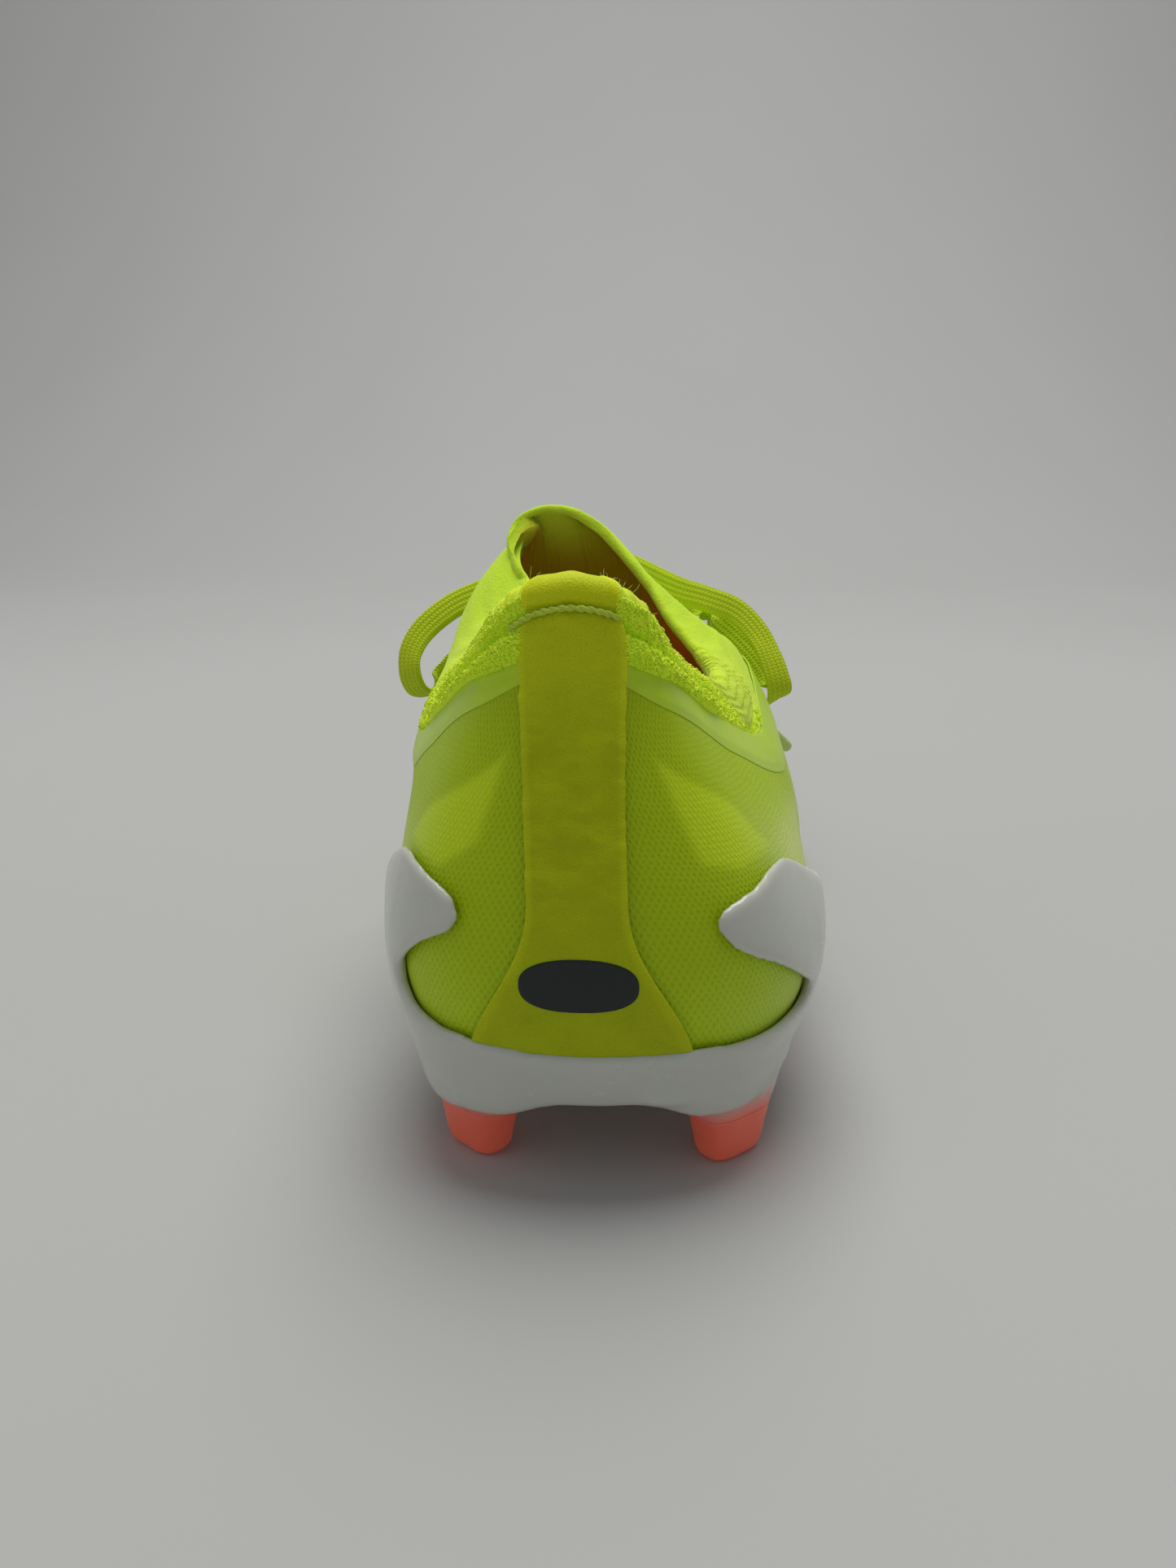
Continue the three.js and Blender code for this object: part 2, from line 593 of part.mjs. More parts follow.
// Each stud: its station, its place across (1 at the outer edge, -1 at the inner), its turn, length and width.
const STUDS = {
  heel_back_outer: { t: 0.127, across: 0.78, angle: 42, length: 16, width: 10 },
  heel_back_inner: { t: 0.127, across: -0.7, angle: -42, length: 16, width: 10 },
  heel_front_outer: { t: 0.235, across: 0.74, angle: 84, length: 15, width: 8.5 },
  heel_front_inner: { t: 0.235, across: -0.74, angle: -84, length: 15, width: 8.5 },
  ball_outer: { t: 0.63, across: 0.74, angle: 80, length: 16, width: 9 },
  ball_inner: { t: 0.63, across: -0.74, angle: -80, length: 16, width: 9 },
  middle_outer: { t: 0.8, across: 0.76, angle: 108, length: 15, width: 8.5 },
  middle_inner: { t: 0.8, across: -0.76, angle: -104, length: 15, width: 8.5 },
  centre_back: { t: 0.775, across: 0.02, angle: 0, length: 11, width: 9 },
  centre_front: { t: 0.885, across: -0.02, angle: 0, length: 11, width: 9 },
  toe_outer: { t: 0.9, across: 0.7, angle: 132, length: 14, width: 8 },
  toe_inner: { t: 0.9, across: -0.74, angle: -122, length: 14, width: 8 },
};

const ROOT_TOP = 1.2; // how far a stud's root reaches into the plate
for (const stud of Object.values(STUDS)) {
  const outerEdge = form(stud.t, 0);
  const innerEdge = form(-stud.t, 0);
  const place = innerEdge.clone().lerp(outerEdge, (1 + stud.across) / 2);
  stud.outline = (scale) => blade(place.x, place.y, stud.angle, stud.length * scale, stud.width * scale);
  stud.root = place.z - SOLE_PLATE + ROOT_TOP;
  stud.y = place.y;
}

const tipOf = (stud) => loft([
  { z: 0, points: stud.outline(0.54) },
  { z: 1, points: stud.outline(0.64) },
  { z: STUD_TIP, points: stud.outline(0.84) },
]);
const rootOf = (stud) => loft([
  { z: STUD_TIP + STUD_JOIN, points: stud.outline(0.85) },
  { z: stud.root - ROOT_TOP - 1, points: stud.outline(1.02) },
  { z: stud.root, points: stud.outline(1.35) },
]);

for (const [name, stud] of Object.entries(STUDS)) add(`stud_${name}`, tipOf(stud), "tip");

// The flex line crosses the boot at the ball. The forefoot's side of it stands upright, and the heel's side leans
// back by the flex angle, so the two halves close on each other when the forefoot bends.
const flexY = form(FLEX_STATION, 0).y + 3;
const flexZ = form(FLEX_STATION, 0).z - SOLE_PLATE;

function halfSpace(corners) {
  const wedge = new THREE.Shape(corners.map(([y, z]) => new THREE.Vector2(y, z)));
  const across = 200;
  return new THREE.ExtrudeGeometry(wedge, { depth: across, bevelEnabled: false })
    .applyMatrix4(new THREE.Matrix4().set(0, 0, 1, -across / 2, 1, 0, 0, 0, 0, 1, 0, 0, 0, 0, 0, 1));
}

const TALL = 60;
const REACH = 2 * LENGTH;
const lean = TALL * Math.tan(THREE.MathUtils.degToRad(FLEX_ANGLE));
const heelSide = halfSpace([
  [-REACH, -TALL], [flexY - FLEX_GAP, -TALL], [flexY - FLEX_GAP, flexZ], [flexY - FLEX_GAP - lean, flexZ + TALL],
  [-REACH, flexZ + TALL],
]);
const toeSide = halfSpace([[flexY, -TALL], [REACH, -TALL], [REACH, TALL], [flexY, TALL]]);

const roots = Object.values(STUDS).map(rootOf);
const outsole = joined(tray, wing(1), wing(-1), ...roots);
add("outsole_heel", common(outsole, heelSide), "sole");
add("outsole_forefoot", common(outsole, toeSide), "sole");

const board = bed({ inset: always(BOARD_INSET), from: LAYER_GAP, to: LAYER_GAP + BOARD, columns: 3 });
const linerFrom = 2 * LAYER_GAP + BOARD;
const toeInset = SOCKLINER_TOE_INSET * (LENGTH / ALONG_LENGTH) ** 2; // clear of the toe puff as it lengthens
const linerInset = (t) => mix(SOCKLINER_INSET, toeInset, Math.max(0, (t - 0.75) / 0.25));
const liner = bed({ inset: linerInset, from: linerFrom, to: linerFrom + SOCKLINER, columns: 3 });
add("insole_board_heel", common(board, heelSide), "board");
add("insole_board_forefoot", common(board, toeSide), "board");
add("sockliner_heel", common(liner, heelSide), "sockliner");
add("sockliner_forefoot", common(liner, toeSide), "sockliner");

// ---------------------------------------------------------------- lacing

const LACE_OUT = 2 * LAYER_GAP + EYESTAY + LACE_THICKNESS / 2 + 0.7;

// A strand over the tongue from one eyelet to another, raised by over. Both ends are {side, t}.
function strand(from, to, over) {
  const stops = even(10).map((a) => {
    const t = mix(from.t, to.t, a);
    const across = mix(from.side, to.side, a) * (1 - skinEdge(t) + EYELET_DROP);
    const u = across < 0 ? -t : t;
    const v = 1 - Math.abs(across);
    return { point: lifted(u, v, LACE_OUT + over), up: normal(u, v), width: LACE_WIDTH };
  });
  return band(stops, LACE_THICKNESS);
}

const OVER = LACE_THICKNESS + 0.8;
const nearEnd = 0.011; // how far in front of its eyelet a strand lies, so two strands share one eyelet
const frontEyelet = eyeletStations[EYELETS - 1];
add("lace_bar", strand({ side: 1, t: frontEyelet + nearEnd }, { side: -1, t: frontEyelet + nearEnd }, 0), "lace");
for (let row = 1; row < EYELETS; row++) {
  const [back, front] = [eyeletStations[row - 1] + nearEnd, eyeletStations[row] - nearEnd];
  add(`lace_cross_${row}_under`, strand({ side: 1, t: front }, { side: -1, t: back }, 0), "lace");
  add(`lace_cross_${row}_over`, strand({ side: -1, t: front }, { side: 1, t: back }, OVER), "lace");
}

// The bow: a knot on the instep above the top eyelets, two loops and two tails.
const KNOT = { t: 0.44, width: 13, length: 10, height: 6 };
const knotUp = normal(KNOT.t, 1);
const knotPlace = lifted(KNOT.t, 1, LACE_OUT + OVER + LACE_THICKNESS + KNOT.height / 2);
const knotTurn = new THREE.Quaternion().setFromUnitVectors(new THREE.Vector3(0, 0, 1), knotUp);
const knotBall = new THREE.SphereGeometry(0.5, 12, 8)
  .scale(KNOT.width, KNOT.length, KNOT.height)
  .applyQuaternion(knotTurn)
  .translate(knotPlace.x, knotPlace.y, knotPlace.z);
add("lace_knot", geometryOf(solid(knotBall)), "lace");

// Each loop's line, from the knot and back to it, for a lace 6 wide. A wider one stands higher off the eyestay.
const LOOP_LIFT = Math.max(0, LACE_WIDTH - 6) / 2;
const LOOPS = {
  outer: [
    [7.7, -1.6, -0.5], [13.7, -4.1, -2.5], [19.7, -8.1, -5], [24.2, -10.6, -6.7], [30.2, -11.1, -8.4],
    [36.5, -10.6, -11], [41.2, -12, -15.7], [44.2, -14.8, -21.4], [45.8, -16.1, -26.5], [45.7, -13.6, -29],
    [44.2, -10.1, -26.5], [40.3, -7.6, -20.9], [35, -5.6, -15.8], [29.4, -5.4, -12], [22.8, -4.8, -8.6],
    [15.4, -2.6, -5.6], [8.2, 0, -3],
  ],
  inner: [
    [-7.8, -1.6, 0], [-10.3, -7.1, -2.5], [-13.3, -12.1, -5], [-17.8, -14.4, -6.7], [-24.3, -15.4, -9.5],
    [-30.3, -17.1, -14.2], [-33.2, -18.9, -19], [-33.3, -20.1, -23.7], [-31.8, -19.1, -27.5],
    [-29.3, -15.6, -28], [-26.8, -11.6, -24.5], [-23.8, -8.1, -20], [-19.3, -5.1, -15], [-14.3, -3.1, -10],
    [-8.3, -1.1, -4.5],
  ],
};

// Each tail's line on the form, as [station, height up the rib, distance out]. It lies over the lacing and down the
// side, and ends at its aglet.
const TAIL = [
  [0.46, 0.95, 8.8], [0.482, 0.88, 8.4], [0.505, 0.79, 8.8], [0.527, 0.71, 9], [0.546, 0.63, 7.6],
  [0.562, 0.54, 4.8], [0.576, 0.47, 2.8], [0.588, 0.41, 2.8],
];

// A band along a smooth curve through points, with its flat side facing facing(share, tangent).
function free(points, facing, steps) {
  const curve = new THREE.CatmullRomCurve3(points);
  const stops = curve.getSpacedPoints(steps).map((point, i) => {
    const tangent = curve.getTangentAt(i / steps);
    const up = facing(i / steps, point, tangent).clone();
    up.addScaledVector(tangent, -up.dot(tangent)).normalize();
    return { point, up, width: LACE_WIDTH };
  });
  return band(stops, LACE_THICKNESS);
}

for (const [name, side] of Object.entries(SIDES)) {
  const route = LOOPS[name].map(([x, y, z]) => new THREE.Vector3(x, y, z + LOOP_LIFT).add(knotPlace));
  const centre = route.reduce((sum, p) => sum.add(p), new THREE.Vector3()).divideScalar(route.length);
  const fromCentre = (_, point) => point.clone().sub(centre).normalize().add(new THREE.Vector3(0, -0.9, 0));
  add(`lace_loop_${name}`, free(route, fromCentre, 32), "lace");

  const tail = TAIL.map(([t, v, out]) => lifted(side * t, v, out));
  const offForm = (share) => {
    const [t, v] = TAIL[Math.round(share * (TAIL.length - 1))];
    return normal(side * t, v);
  };
  add(`lace_tail_${name}`, free(tail, offForm, 14), "lace");

  const [before, end] = tail.slice(-2);
  const direction = end.clone().sub(before).normalize();
  const aglet = new THREE.CylinderGeometry(AGLET_RADIUS, AGLET_RADIUS, AGLET_LENGTH, 10);
  const middle = end.clone().addScaledVector(direction, AGLET_LENGTH / 2 + 0.3);
  aglet.applyQuaternion(new THREE.Quaternion().setFromUnitVectors(new THREE.Vector3(0, 1, 0), direction));
  aglet.translate(middle.x, middle.y, middle.z);
  add(`lace_aglet_${name}`, geometryOf(solid(aglet)), "aglet");
}

// ---------------------------------------------------------------- placing

// The origin is on the ground, under the middle of the boot without its free lace ends.
const held = new THREE.Box3();
for (const mesh of boot.children) if (!/^lace_(loop|tail|aglet)/.test(mesh.name)) held.expandByObject(mesh);
const middle = held.getCenter(new THREE.Vector3());
boot.position.set(-middle.x, -middle.y, -held.min.z);

export default boot;
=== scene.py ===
# %% [markdown]
# # A football boot, seen from behind
# A right-foot boot in bright yellow-green: a moulded sole with heel wings, a mesh upper under a clear film,
# a soft strip up the heel, a terry-lined sock collar and a flat lace in a bow. The solids come from the
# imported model, which is loaded first. Everything soft is then made again here over the same foot form, as
# thin, closed cloth with rounded edges, because a shoe is read from its edges and its textures.

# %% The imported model
import math

import bmesh
import bpy
import numpy as np
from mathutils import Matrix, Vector


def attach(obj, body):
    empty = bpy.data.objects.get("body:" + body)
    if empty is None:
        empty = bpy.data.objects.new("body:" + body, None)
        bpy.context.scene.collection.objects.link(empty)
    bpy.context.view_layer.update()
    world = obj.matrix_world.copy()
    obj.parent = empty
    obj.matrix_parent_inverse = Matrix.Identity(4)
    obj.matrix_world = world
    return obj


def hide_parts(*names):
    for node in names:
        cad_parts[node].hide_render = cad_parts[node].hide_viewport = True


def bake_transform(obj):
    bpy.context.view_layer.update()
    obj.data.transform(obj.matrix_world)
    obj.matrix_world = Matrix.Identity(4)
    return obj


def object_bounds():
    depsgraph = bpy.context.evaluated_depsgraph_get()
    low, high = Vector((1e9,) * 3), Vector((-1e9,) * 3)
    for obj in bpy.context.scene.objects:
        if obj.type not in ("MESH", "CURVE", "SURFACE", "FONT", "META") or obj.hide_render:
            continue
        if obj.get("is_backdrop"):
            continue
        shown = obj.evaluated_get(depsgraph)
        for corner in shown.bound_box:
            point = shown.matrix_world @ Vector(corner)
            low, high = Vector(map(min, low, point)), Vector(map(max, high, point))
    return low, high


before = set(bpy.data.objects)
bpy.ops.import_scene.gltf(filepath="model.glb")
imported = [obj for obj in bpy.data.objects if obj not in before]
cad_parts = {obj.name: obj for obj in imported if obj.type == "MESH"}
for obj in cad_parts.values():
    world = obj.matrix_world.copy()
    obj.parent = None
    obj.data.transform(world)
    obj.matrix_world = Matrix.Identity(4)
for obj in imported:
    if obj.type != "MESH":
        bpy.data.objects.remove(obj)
cad_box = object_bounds()
MM = 0.001

# %% [markdown]
# ## The camera
# It stands low and close behind the heel, a little to one side, and looks down by 15 degrees. So near, a
# normal phone lens makes the heel large and the toe small, so the distance matters more than the lens.

# %% The camera
SENSOR = 36.0
FOCAL_SHARE = 1448 / 1927  # the focal length as a share of the frame's long side
CAMERA_AT = (0.0086, -0.2904, 0.106)
LOOKS_DOWN, LOOKS_ASIDE = 15, 3

camera_data = bpy.data.cameras.new("camera")
camera_data.sensor_width = SENSOR
camera_data.lens = FOCAL_SHARE * SENSOR
camera_data.clip_start = 0.01
camera = bpy.data.objects.new("camera", camera_data)
camera.location = CAMERA_AT
camera.rotation_euler = (math.radians(90 - LOOKS_DOWN), 0, math.radians(LOOKS_ASIDE))
bpy.context.scene.collection.objects.link(camera)
bpy.context.scene.camera = camera
print("lens", round(camera_data.lens, 2), "mm")

# %% [markdown]
# ## The foot form
# A boot is sewn round a last, a solid foot form, so every layer here lies on one too. The form is a row of
# ribs, each a cubic curve from the sole's edge up to the top line. A place on it is (u, v): u runs round the
# boot from -1 at the toe, up the inner side, through 0 at the heel and back to 1, and v runs up the rib from
# 0 to 1. The numbers are millimetres, and turn into metres when a mesh is made.

# %% The ribs
LENGTH, HEEL, WAIST, BALL = 277.0, 31.5, 28.5, 43.0
SOLE_LIFT = 18.5
PLACE = np.array([-0.492, -139.7, 0.0])

# Station, place along as a share of the length, skew, bend, half width, height of the sole's edge, then the
# top: x outside and inside, place along, height outside and inside, then the handles: rise, flare, lean,
# crown outside and inside, and the ridge's slope.
RIBS = [
    (0.00, 0.016, 0, 0, 0, 0, -1.5, -1.5, 7, 92.5, 92.5, 28, 8, 28, -3, -3, 0),
    (0.10, 0.045, 0, 1, 0.73 * HEEL, 0, 8, -12, 14.5, 88.5, 88.5, 25, 10, 27, 3, 3, 0),
    (0.18, 0.130, 0, 3, HEEL, 0, 13, -19.5, 35, 80, 80, 21, 10, 24, 10, 9, 0),
    (0.28, 0.240, 0, 5, 0.98 * WAIST, 0.5, 18, -24, 61, 71, 71, 20, 11, 18, 19, 20, 0),
    (0.34, 0.300, 0, 6, 0.98 * WAIST, 1, 12, -21.5, 80, 79.5, 82, 20, 10, 17, 26, 20, 0),
    (0.37, 0.332, 0, 6.3, 0.99 * WAIST, 1.2, 2.5, -18.5, 92, 90.5, 94, 20, 9, 12, 31, 19, 0),
    (0.40, 0.365, 0, 6.5, WAIST, 1.5, -10, -10, 99, 101, 101, 21, 8, 9, 30, 20, -1.2),
    (0.47, 0.440, 2, 6.5, 1.09 * WAIST, 1, -6, -6, 116, 70, 70, 20, 6, 2, 26, 22, -1.1),
    (0.56, 0.530, 4, 5, 0.86 * BALL, 0, -3, -3, 142, 60, 60, 19, 5, 0, 24, 24, -0.5),
    (0.64, 0.615, 6, 3, 0.96 * BALL, -2, -3, -3, 167, 55, 55, 18, 4, 0, 25, 25, -0.35),
    (0.74, 0.722, 6, 0, BALL, -3.5, -5, -5, 201, 50, 50, 16, 3.5, 0, 26, 26, -0.3),
    (0.85, 0.848, 5, -4, 0.88 * BALL, -3, -8, -8, 236, 41.5, 41.5, 13, 3, 0, 23, 23, -0.3),
    (0.93, 0.947, 3, -8, 0.6 * BALL, 0, -10, -10, 256, 37.5, 37.5, 10, 2.5, 0, 15, 15, -0.4),
    (1.00, 1.000, 0, -12, 0, 3, -11, -11, 264, 33, 33, 6, 2, 0, 9, 9, -0.55),
]
RISE, FLARE, LEAN, CROWN, SLOPE = range(6, 11)


def rib_on(rib, side):
    """A rib on one side, 1 outside or -1 inside, as the numbers that are blended between ribs."""
    t, share, skew, bend, half, z, xo, xi, along, to, ti, rise, flare, lean, co, ci, slope = rib
    outside = side > 0
    start = [bend + side * half, share * LENGTH + (0 if outside else skew), SOLE_LIFT + z]
    end = [xo if outside else xi, along, to if outside else ti]
    return start + end + [rise, flare, lean, co if outside else ci, slope]


ROUND_AT = np.array([-rib[0] for rib in RIBS[:0:-1]] + [rib[0] for rib in RIBS[:-1]])
ROUND = np.array([rib_on(rib, -1) for rib in RIBS[:0:-1]] + [rib_on(rib, 1) for rib in RIBS[:-1]])


def wrap(u):
    return (np.asarray(u, float) + 1) % 2 - 1


def spline(at, values, u):
    """A closed cubic through values, which stand at rising places with the period 2."""
    at = np.concatenate([at[-2:] - 2, at, at[:3] + 2])
    values = np.concatenate([values[-2:], values, values[:3]])
    u = wrap(u)
    i = np.clip(np.searchsorted(at, u, side="right") - 1, 1, len(at) - 3)
    wide = values.ndim > 1
    shaped = (lambda a: a[..., None]) if wide else (lambda a: a)
    span = at[i + 1] - at[i]
    k = shaped((u - at[i]) / span)
    leaving = (values[i + 1] - values[i - 1]) * shaped(span / (at[i + 1] - at[i - 1]))
    arriving = (values[i + 2] - values[i]) * shaped(span / (at[i + 2] - at[i]))
    k2, k3 = k * k, k * k * k
    return (
        (2 * k3 - 3 * k2 + 1) * values[i] + (k3 - 2 * k2 + k) * leaving
        + (3 * k2 - 2 * k3) * values[i + 1] + (k3 - k2) * arriving
    )


def along(pairs):
    """A number that changes round the boot, from pairs of station and value, the same on both sides."""
    back = [(-t, value) for t, value in pairs[::-1] if t > 0]
    there = [(t, value) for t, value in pairs if t < 1]
    at, values = np.array(back + there, float).T
    return lambda u: spline(at, values, u)


def unit(vectors):
    return vectors / np.maximum(np.linalg.norm(vectors, axis=-1, keepdims=True), 1e-12)


# %% The form's surface
STEP = 0.004


def outward(u):
    """Straight out from the sole's edge, in plan."""
    a, b = spline(ROUND_AT, ROUND, u - STEP), spline(ROUND_AT, ROUND, u + STEP)
    return unit(np.stack([b[..., 1] - a[..., 1], a[..., 0] - b[..., 0]], -1))


def form(u, v):
    """The point of the form at (u, v)."""
    u, v = np.broadcast_arrays(np.asarray(u, float), np.asarray(v, float))
    rib, out = spline(ROUND_AT, ROUND, u), outward(u)
    start, end = rib[..., 0:3], rib[..., 3:6]
    over = out * rib[..., CROWN, None]
    low = start + np.concatenate([out * rib[..., FLARE, None], rib[..., RISE, None]], -1)
    drop = over[..., 1:2] * rib[..., SLOPE, None] - rib[..., LEAN, None]
    high = end + np.concatenate([over, drop], -1)
    v = v[..., None]
    w = 1 - v
    return w**3 * start + 3 * w * w * v * low + 3 * w * v * v * high + v**3 * end + PLACE


def one_sided(u, v):
    round_ = form(u + STEP, v) - form(u - STEP, v)
    up = form(u, np.minimum(v + STEP, 1)) - form(u, np.maximum(v - STEP, 0))
    return unit(np.cross(round_, up))


def normal(u, v):
    """The form's normal, facing out. Along the ridge in front of the collar both sides share one."""
    u, v = np.broadcast_arrays(np.asarray(u, float), np.asarray(v, float))
    t = np.minimum(np.abs(wrap(u)), 0.985)
    shared = unit(one_sided(t, 0.985 + 0 * v) + one_sided(-t, 0.985 + 0 * v))
    ridge = (v > 0.999) & (np.abs(wrap(u)) > 0.405)
    return np.where(ridge[..., None], shared, one_sided(u, v))


def lifted(u, v, out):
    return form(u, v) + normal(u, v) * np.asarray(out, float)[..., None]


def mix(a, b, k):
    return a + (b - a) * k


def smooth(low, high, x):
    k = np.clip((np.asarray(x, float) - low) / (high - low), 0, 1)
    return k * k * (3 - 2 * k)


heel_back = form(0.0, 0.5)

# %% [markdown]
# ## Making closed cloth
# Each layer is two grids of points, an outer and an inner one, joined round the borders by a small round
# edge. A Solidify modifier could thicken a single grid, but it can't vary the thickness or round the edge,
# and a cloth's turned edge is what catches the light.

# %% Meshes from grids
WELD = 1e-4


def welded(points, faces):
    """Points that coincide become one, and faces that lose their area go."""
    keys = np.round(points / WELD).astype(np.int64)
    _, first, back = np.unique(keys, axis=0, return_index=True, return_inverse=True)
    faces = back.reshape(-1)[faces]
    clean = []
    same = (faces == np.roll(faces, 1, axis=1)).any(1)
    same |= (faces[:, 0] == faces[:, 2]) | (faces[:, 1] == faces[:, 3])
    clean.extend(faces[~same].tolist())
    for face in faces[same].tolist():
        corners = [c for i, c in enumerate(face) if c != face[i - 1]]
        if len(corners) >= 3 and len(set(corners)) == len(corners):
            clean.append(corners)
    return first, clean


def grid_faces(rows, columns):
    i, j = np.meshgrid(np.arange(rows - 1), np.arange(columns - 1), indexing="ij")
    a = (i * columns + j).reshape(-1)
    return np.stack([a, a + columns, a + columns + 1, a + 1], 1)


def make_mesh(name, points, faces, fields=None, smooth_faces=True):
    """A mesh object from points in millimetres, with fields: numbers or vectors for each point."""
    first, clean = welded(points, faces)
    mesh = bpy.data.meshes.new(name)
    mesh.from_pydata((points[first] * MM).tolist(), [], clean)
    for field, values in (fields or {}).items():
        kind = "FLOAT_VECTOR" if values.ndim > 1 else "FLOAT"
        attribute = mesh.attributes.new(field, kind, "POINT")
        attribute.data.foreach_set("vector" if values.ndim > 1 else "value",
                                   values[first].astype(np.float32).ravel())
    mesh.polygons.foreach_set("use_smooth", [smooth_faces] * len(mesh.polygons))
    mesh.update()
    made = bpy.data.objects.new(name, mesh)
    bpy.context.scene.collection.objects.link(made)
    return made


def shell_parts(outer, inner, round_a=(True, True), round_b=(True, True), k=2):
    """Points and faces of a closed layer between two grids, and where on the grids each point comes from."""
    middle = (outer + inner) / 2
    half = np.linalg.norm(outer - inner, axis=-1, keepdims=True) / 2
    rows, columns = outer.shape[:2]
    ext_a = np.arange(-k if round_a[0] else 0, rows + (k if round_a[1] else 0))
    ext_b = np.arange(-k if round_b[0] else 0, columns + (k if round_b[1] else 0))
    at_a, at_b = np.clip(ext_a, 0, rows - 1), np.clip(ext_b, 0, columns - 1)
    past_a = np.abs(ext_a - at_a)[:, None] / k
    past_b = np.abs(ext_b - at_b)[None, :] / k
    off_a = np.where((ext_a < 0)[:, None, None], unit(middle[0] - middle[1])[None],
                     unit(middle[-1] - middle[-2])[None])
    off_a = off_a[:, at_b]
    off_b = np.where((ext_b < 0)[None, :, None], unit(middle[:, 0] - middle[:, 1])[:, None],
                     unit(middle[:, -1] - middle[:, -2])[:, None])
    off_b = off_b[at_a]
    quarter = math.pi / 2
    sin_a, sin_b = np.sin(past_a * quarter)[..., None], np.sin(past_b * quarter)[..., None]
    push = off_a * sin_a + off_b * sin_b
    length = np.linalg.norm(push, axis=-1, keepdims=True)
    both = (sin_a > 0) & (sin_b > 0)
    push = np.where(both, push / np.maximum(length, 1e-9) * np.maximum(sin_a, sin_b), push)
    cosine = np.cos(np.maximum(past_a, past_b) * quarter)[..., None]
    pick = np.ix_(at_a, at_b)
    centre = middle[pick] + push * half[pick]
    across = (outer - middle)[pick] * cosine
    points = np.concatenate([(centre + across).reshape(-1, 3), (centre - across).reshape(-1, 3)])
    shape = (len(ext_a), len(ext_b))
    faces = grid_faces(*shape)
    count = shape[0] * shape[1]
    source = (at_a[:, None] * columns + at_b[None, :]).reshape(-1)
    walls = []
    index = np.arange(count).reshape(shape)
    for keep, line in ((round_a[0], index[0][::-1]), (round_a[1], index[-1]), (round_b[0], index[:, 0]),
                       (round_b[1], index[:, -1][::-1])):
        if keep:
            continue
        walls.append(np.stack([line[:-1], line[1:], line[1:] + count, line[:-1] + count], 1))
    return points, np.concatenate([faces[:, ::-1], faces + count] + walls), source


def shell(name, outer, inner, fields=None, **rounding):
    points, faces, source = shell_parts(outer, inner, **rounding)
    picked = {key: np.concatenate([value.reshape(-1, *value.shape[2:])[source]] * 2)
              for key, value in (fields or {}).items()}
    made = make_mesh(name, points, faces, picked)
    face_outwards(made)
    return made


def face_outwards(made):
    """Turns all faces round if the closed mesh is inside out."""
    mesh = made.data
    mesh.calc_loop_triangles()
    co = np.zeros(len(mesh.vertices) * 3)
    mesh.vertices.foreach_get("co", co)
    co = co.reshape(-1, 3)
    tri = np.zeros(len(mesh.loop_triangles) * 3, int)
    mesh.loop_triangles.foreach_get("vertices", tri)
    a, b, c = (co[tri.reshape(-1, 3)[:, i]] for i in range(3))
    if np.einsum("ij,ij->i", a, np.cross(b, c)).sum() < 0:
        mesh.flip_normals()


def spaced(from_, to, count):
    return np.linspace(from_, to, count)


def cloth_place(us, vs):
    """Each grid point's place on the cloth: millimetres round, millimetres up, and the height v itself."""
    half = form(us[:, :1], 0.45 + 0 * us[:, :1])
    steps = np.linalg.norm(np.diff(half, axis=0), axis=-1)
    x = np.concatenate([[0], np.cumsum(steps[:, 0])])
    x = x - np.interp(0, us[:, 0], x) if us[0, 0] < 0 < us[-1, 0] else x
    rib = np.linalg.norm(np.diff(form(us[:, :1], spaced(0, 1, 25)[None, :]), axis=1), axis=-1).sum(1)
    return np.stack([x[:, None] + 0 * vs, vs * rib[:, None], vs], -1)


# %% [markdown]
# ## Noise for small relief
# Terry pile, creases and lumps come from numbers that are looked up in seeded tables, so each run gives the
# same boot.

# %% Noise
TABLE = np.random.default_rng(11).random((256, 256))


def table_at(i, j, turn=0):
    return TABLE[(i * 7 + j * 31 + 57 * turn) % 256, (j + 13 * turn) % 256]


def lumps(x, y, turn=0):
    """Smooth noise from 0 to 1, one lump for each unit."""
    i, j = np.floor(x).astype(int), np.floor(y).astype(int)
    a, b = x - i, y - j
    a, b = a * a * (3 - 2 * a), b * b * (3 - 2 * b)
    low = mix(table_at(i, j, turn), table_at(i + 1, j, turn), a)
    high = mix(table_at(i, j + 1, turn), table_at(i + 1, j + 1, turn), a)
    return mix(low, high, b)


def pile(x, y, turn=0):
    """Small round heads packed together, one for each unit: 1 on a head, and near 0 between them."""
    i, j = np.floor(x).astype(int), np.floor(y).astype(int)
    best = np.full(np.shape(x), 9.0)
    for di in (-1, 0, 1):
        for dj in (-1, 0, 1):
            cx = i + di + 0.15 + 0.7 * table_at(i + di, j + dj, turn)
            cy = j + dj + 0.15 + 0.7 * table_at(i + di, j + dj, turn + 3)
            best = np.minimum(best, (x - cx) ** 2 + (y - cy) ** 2)
    return np.sqrt(np.clip(1 - best / 0.75, 0, 1))


# %% [markdown]
# ## Materials
# A shader is a sum written with nodes, so it is written here as a sum. One small class holds a socket and
# adds a Math node for each sign, and one method places any other node with its settings and inputs.

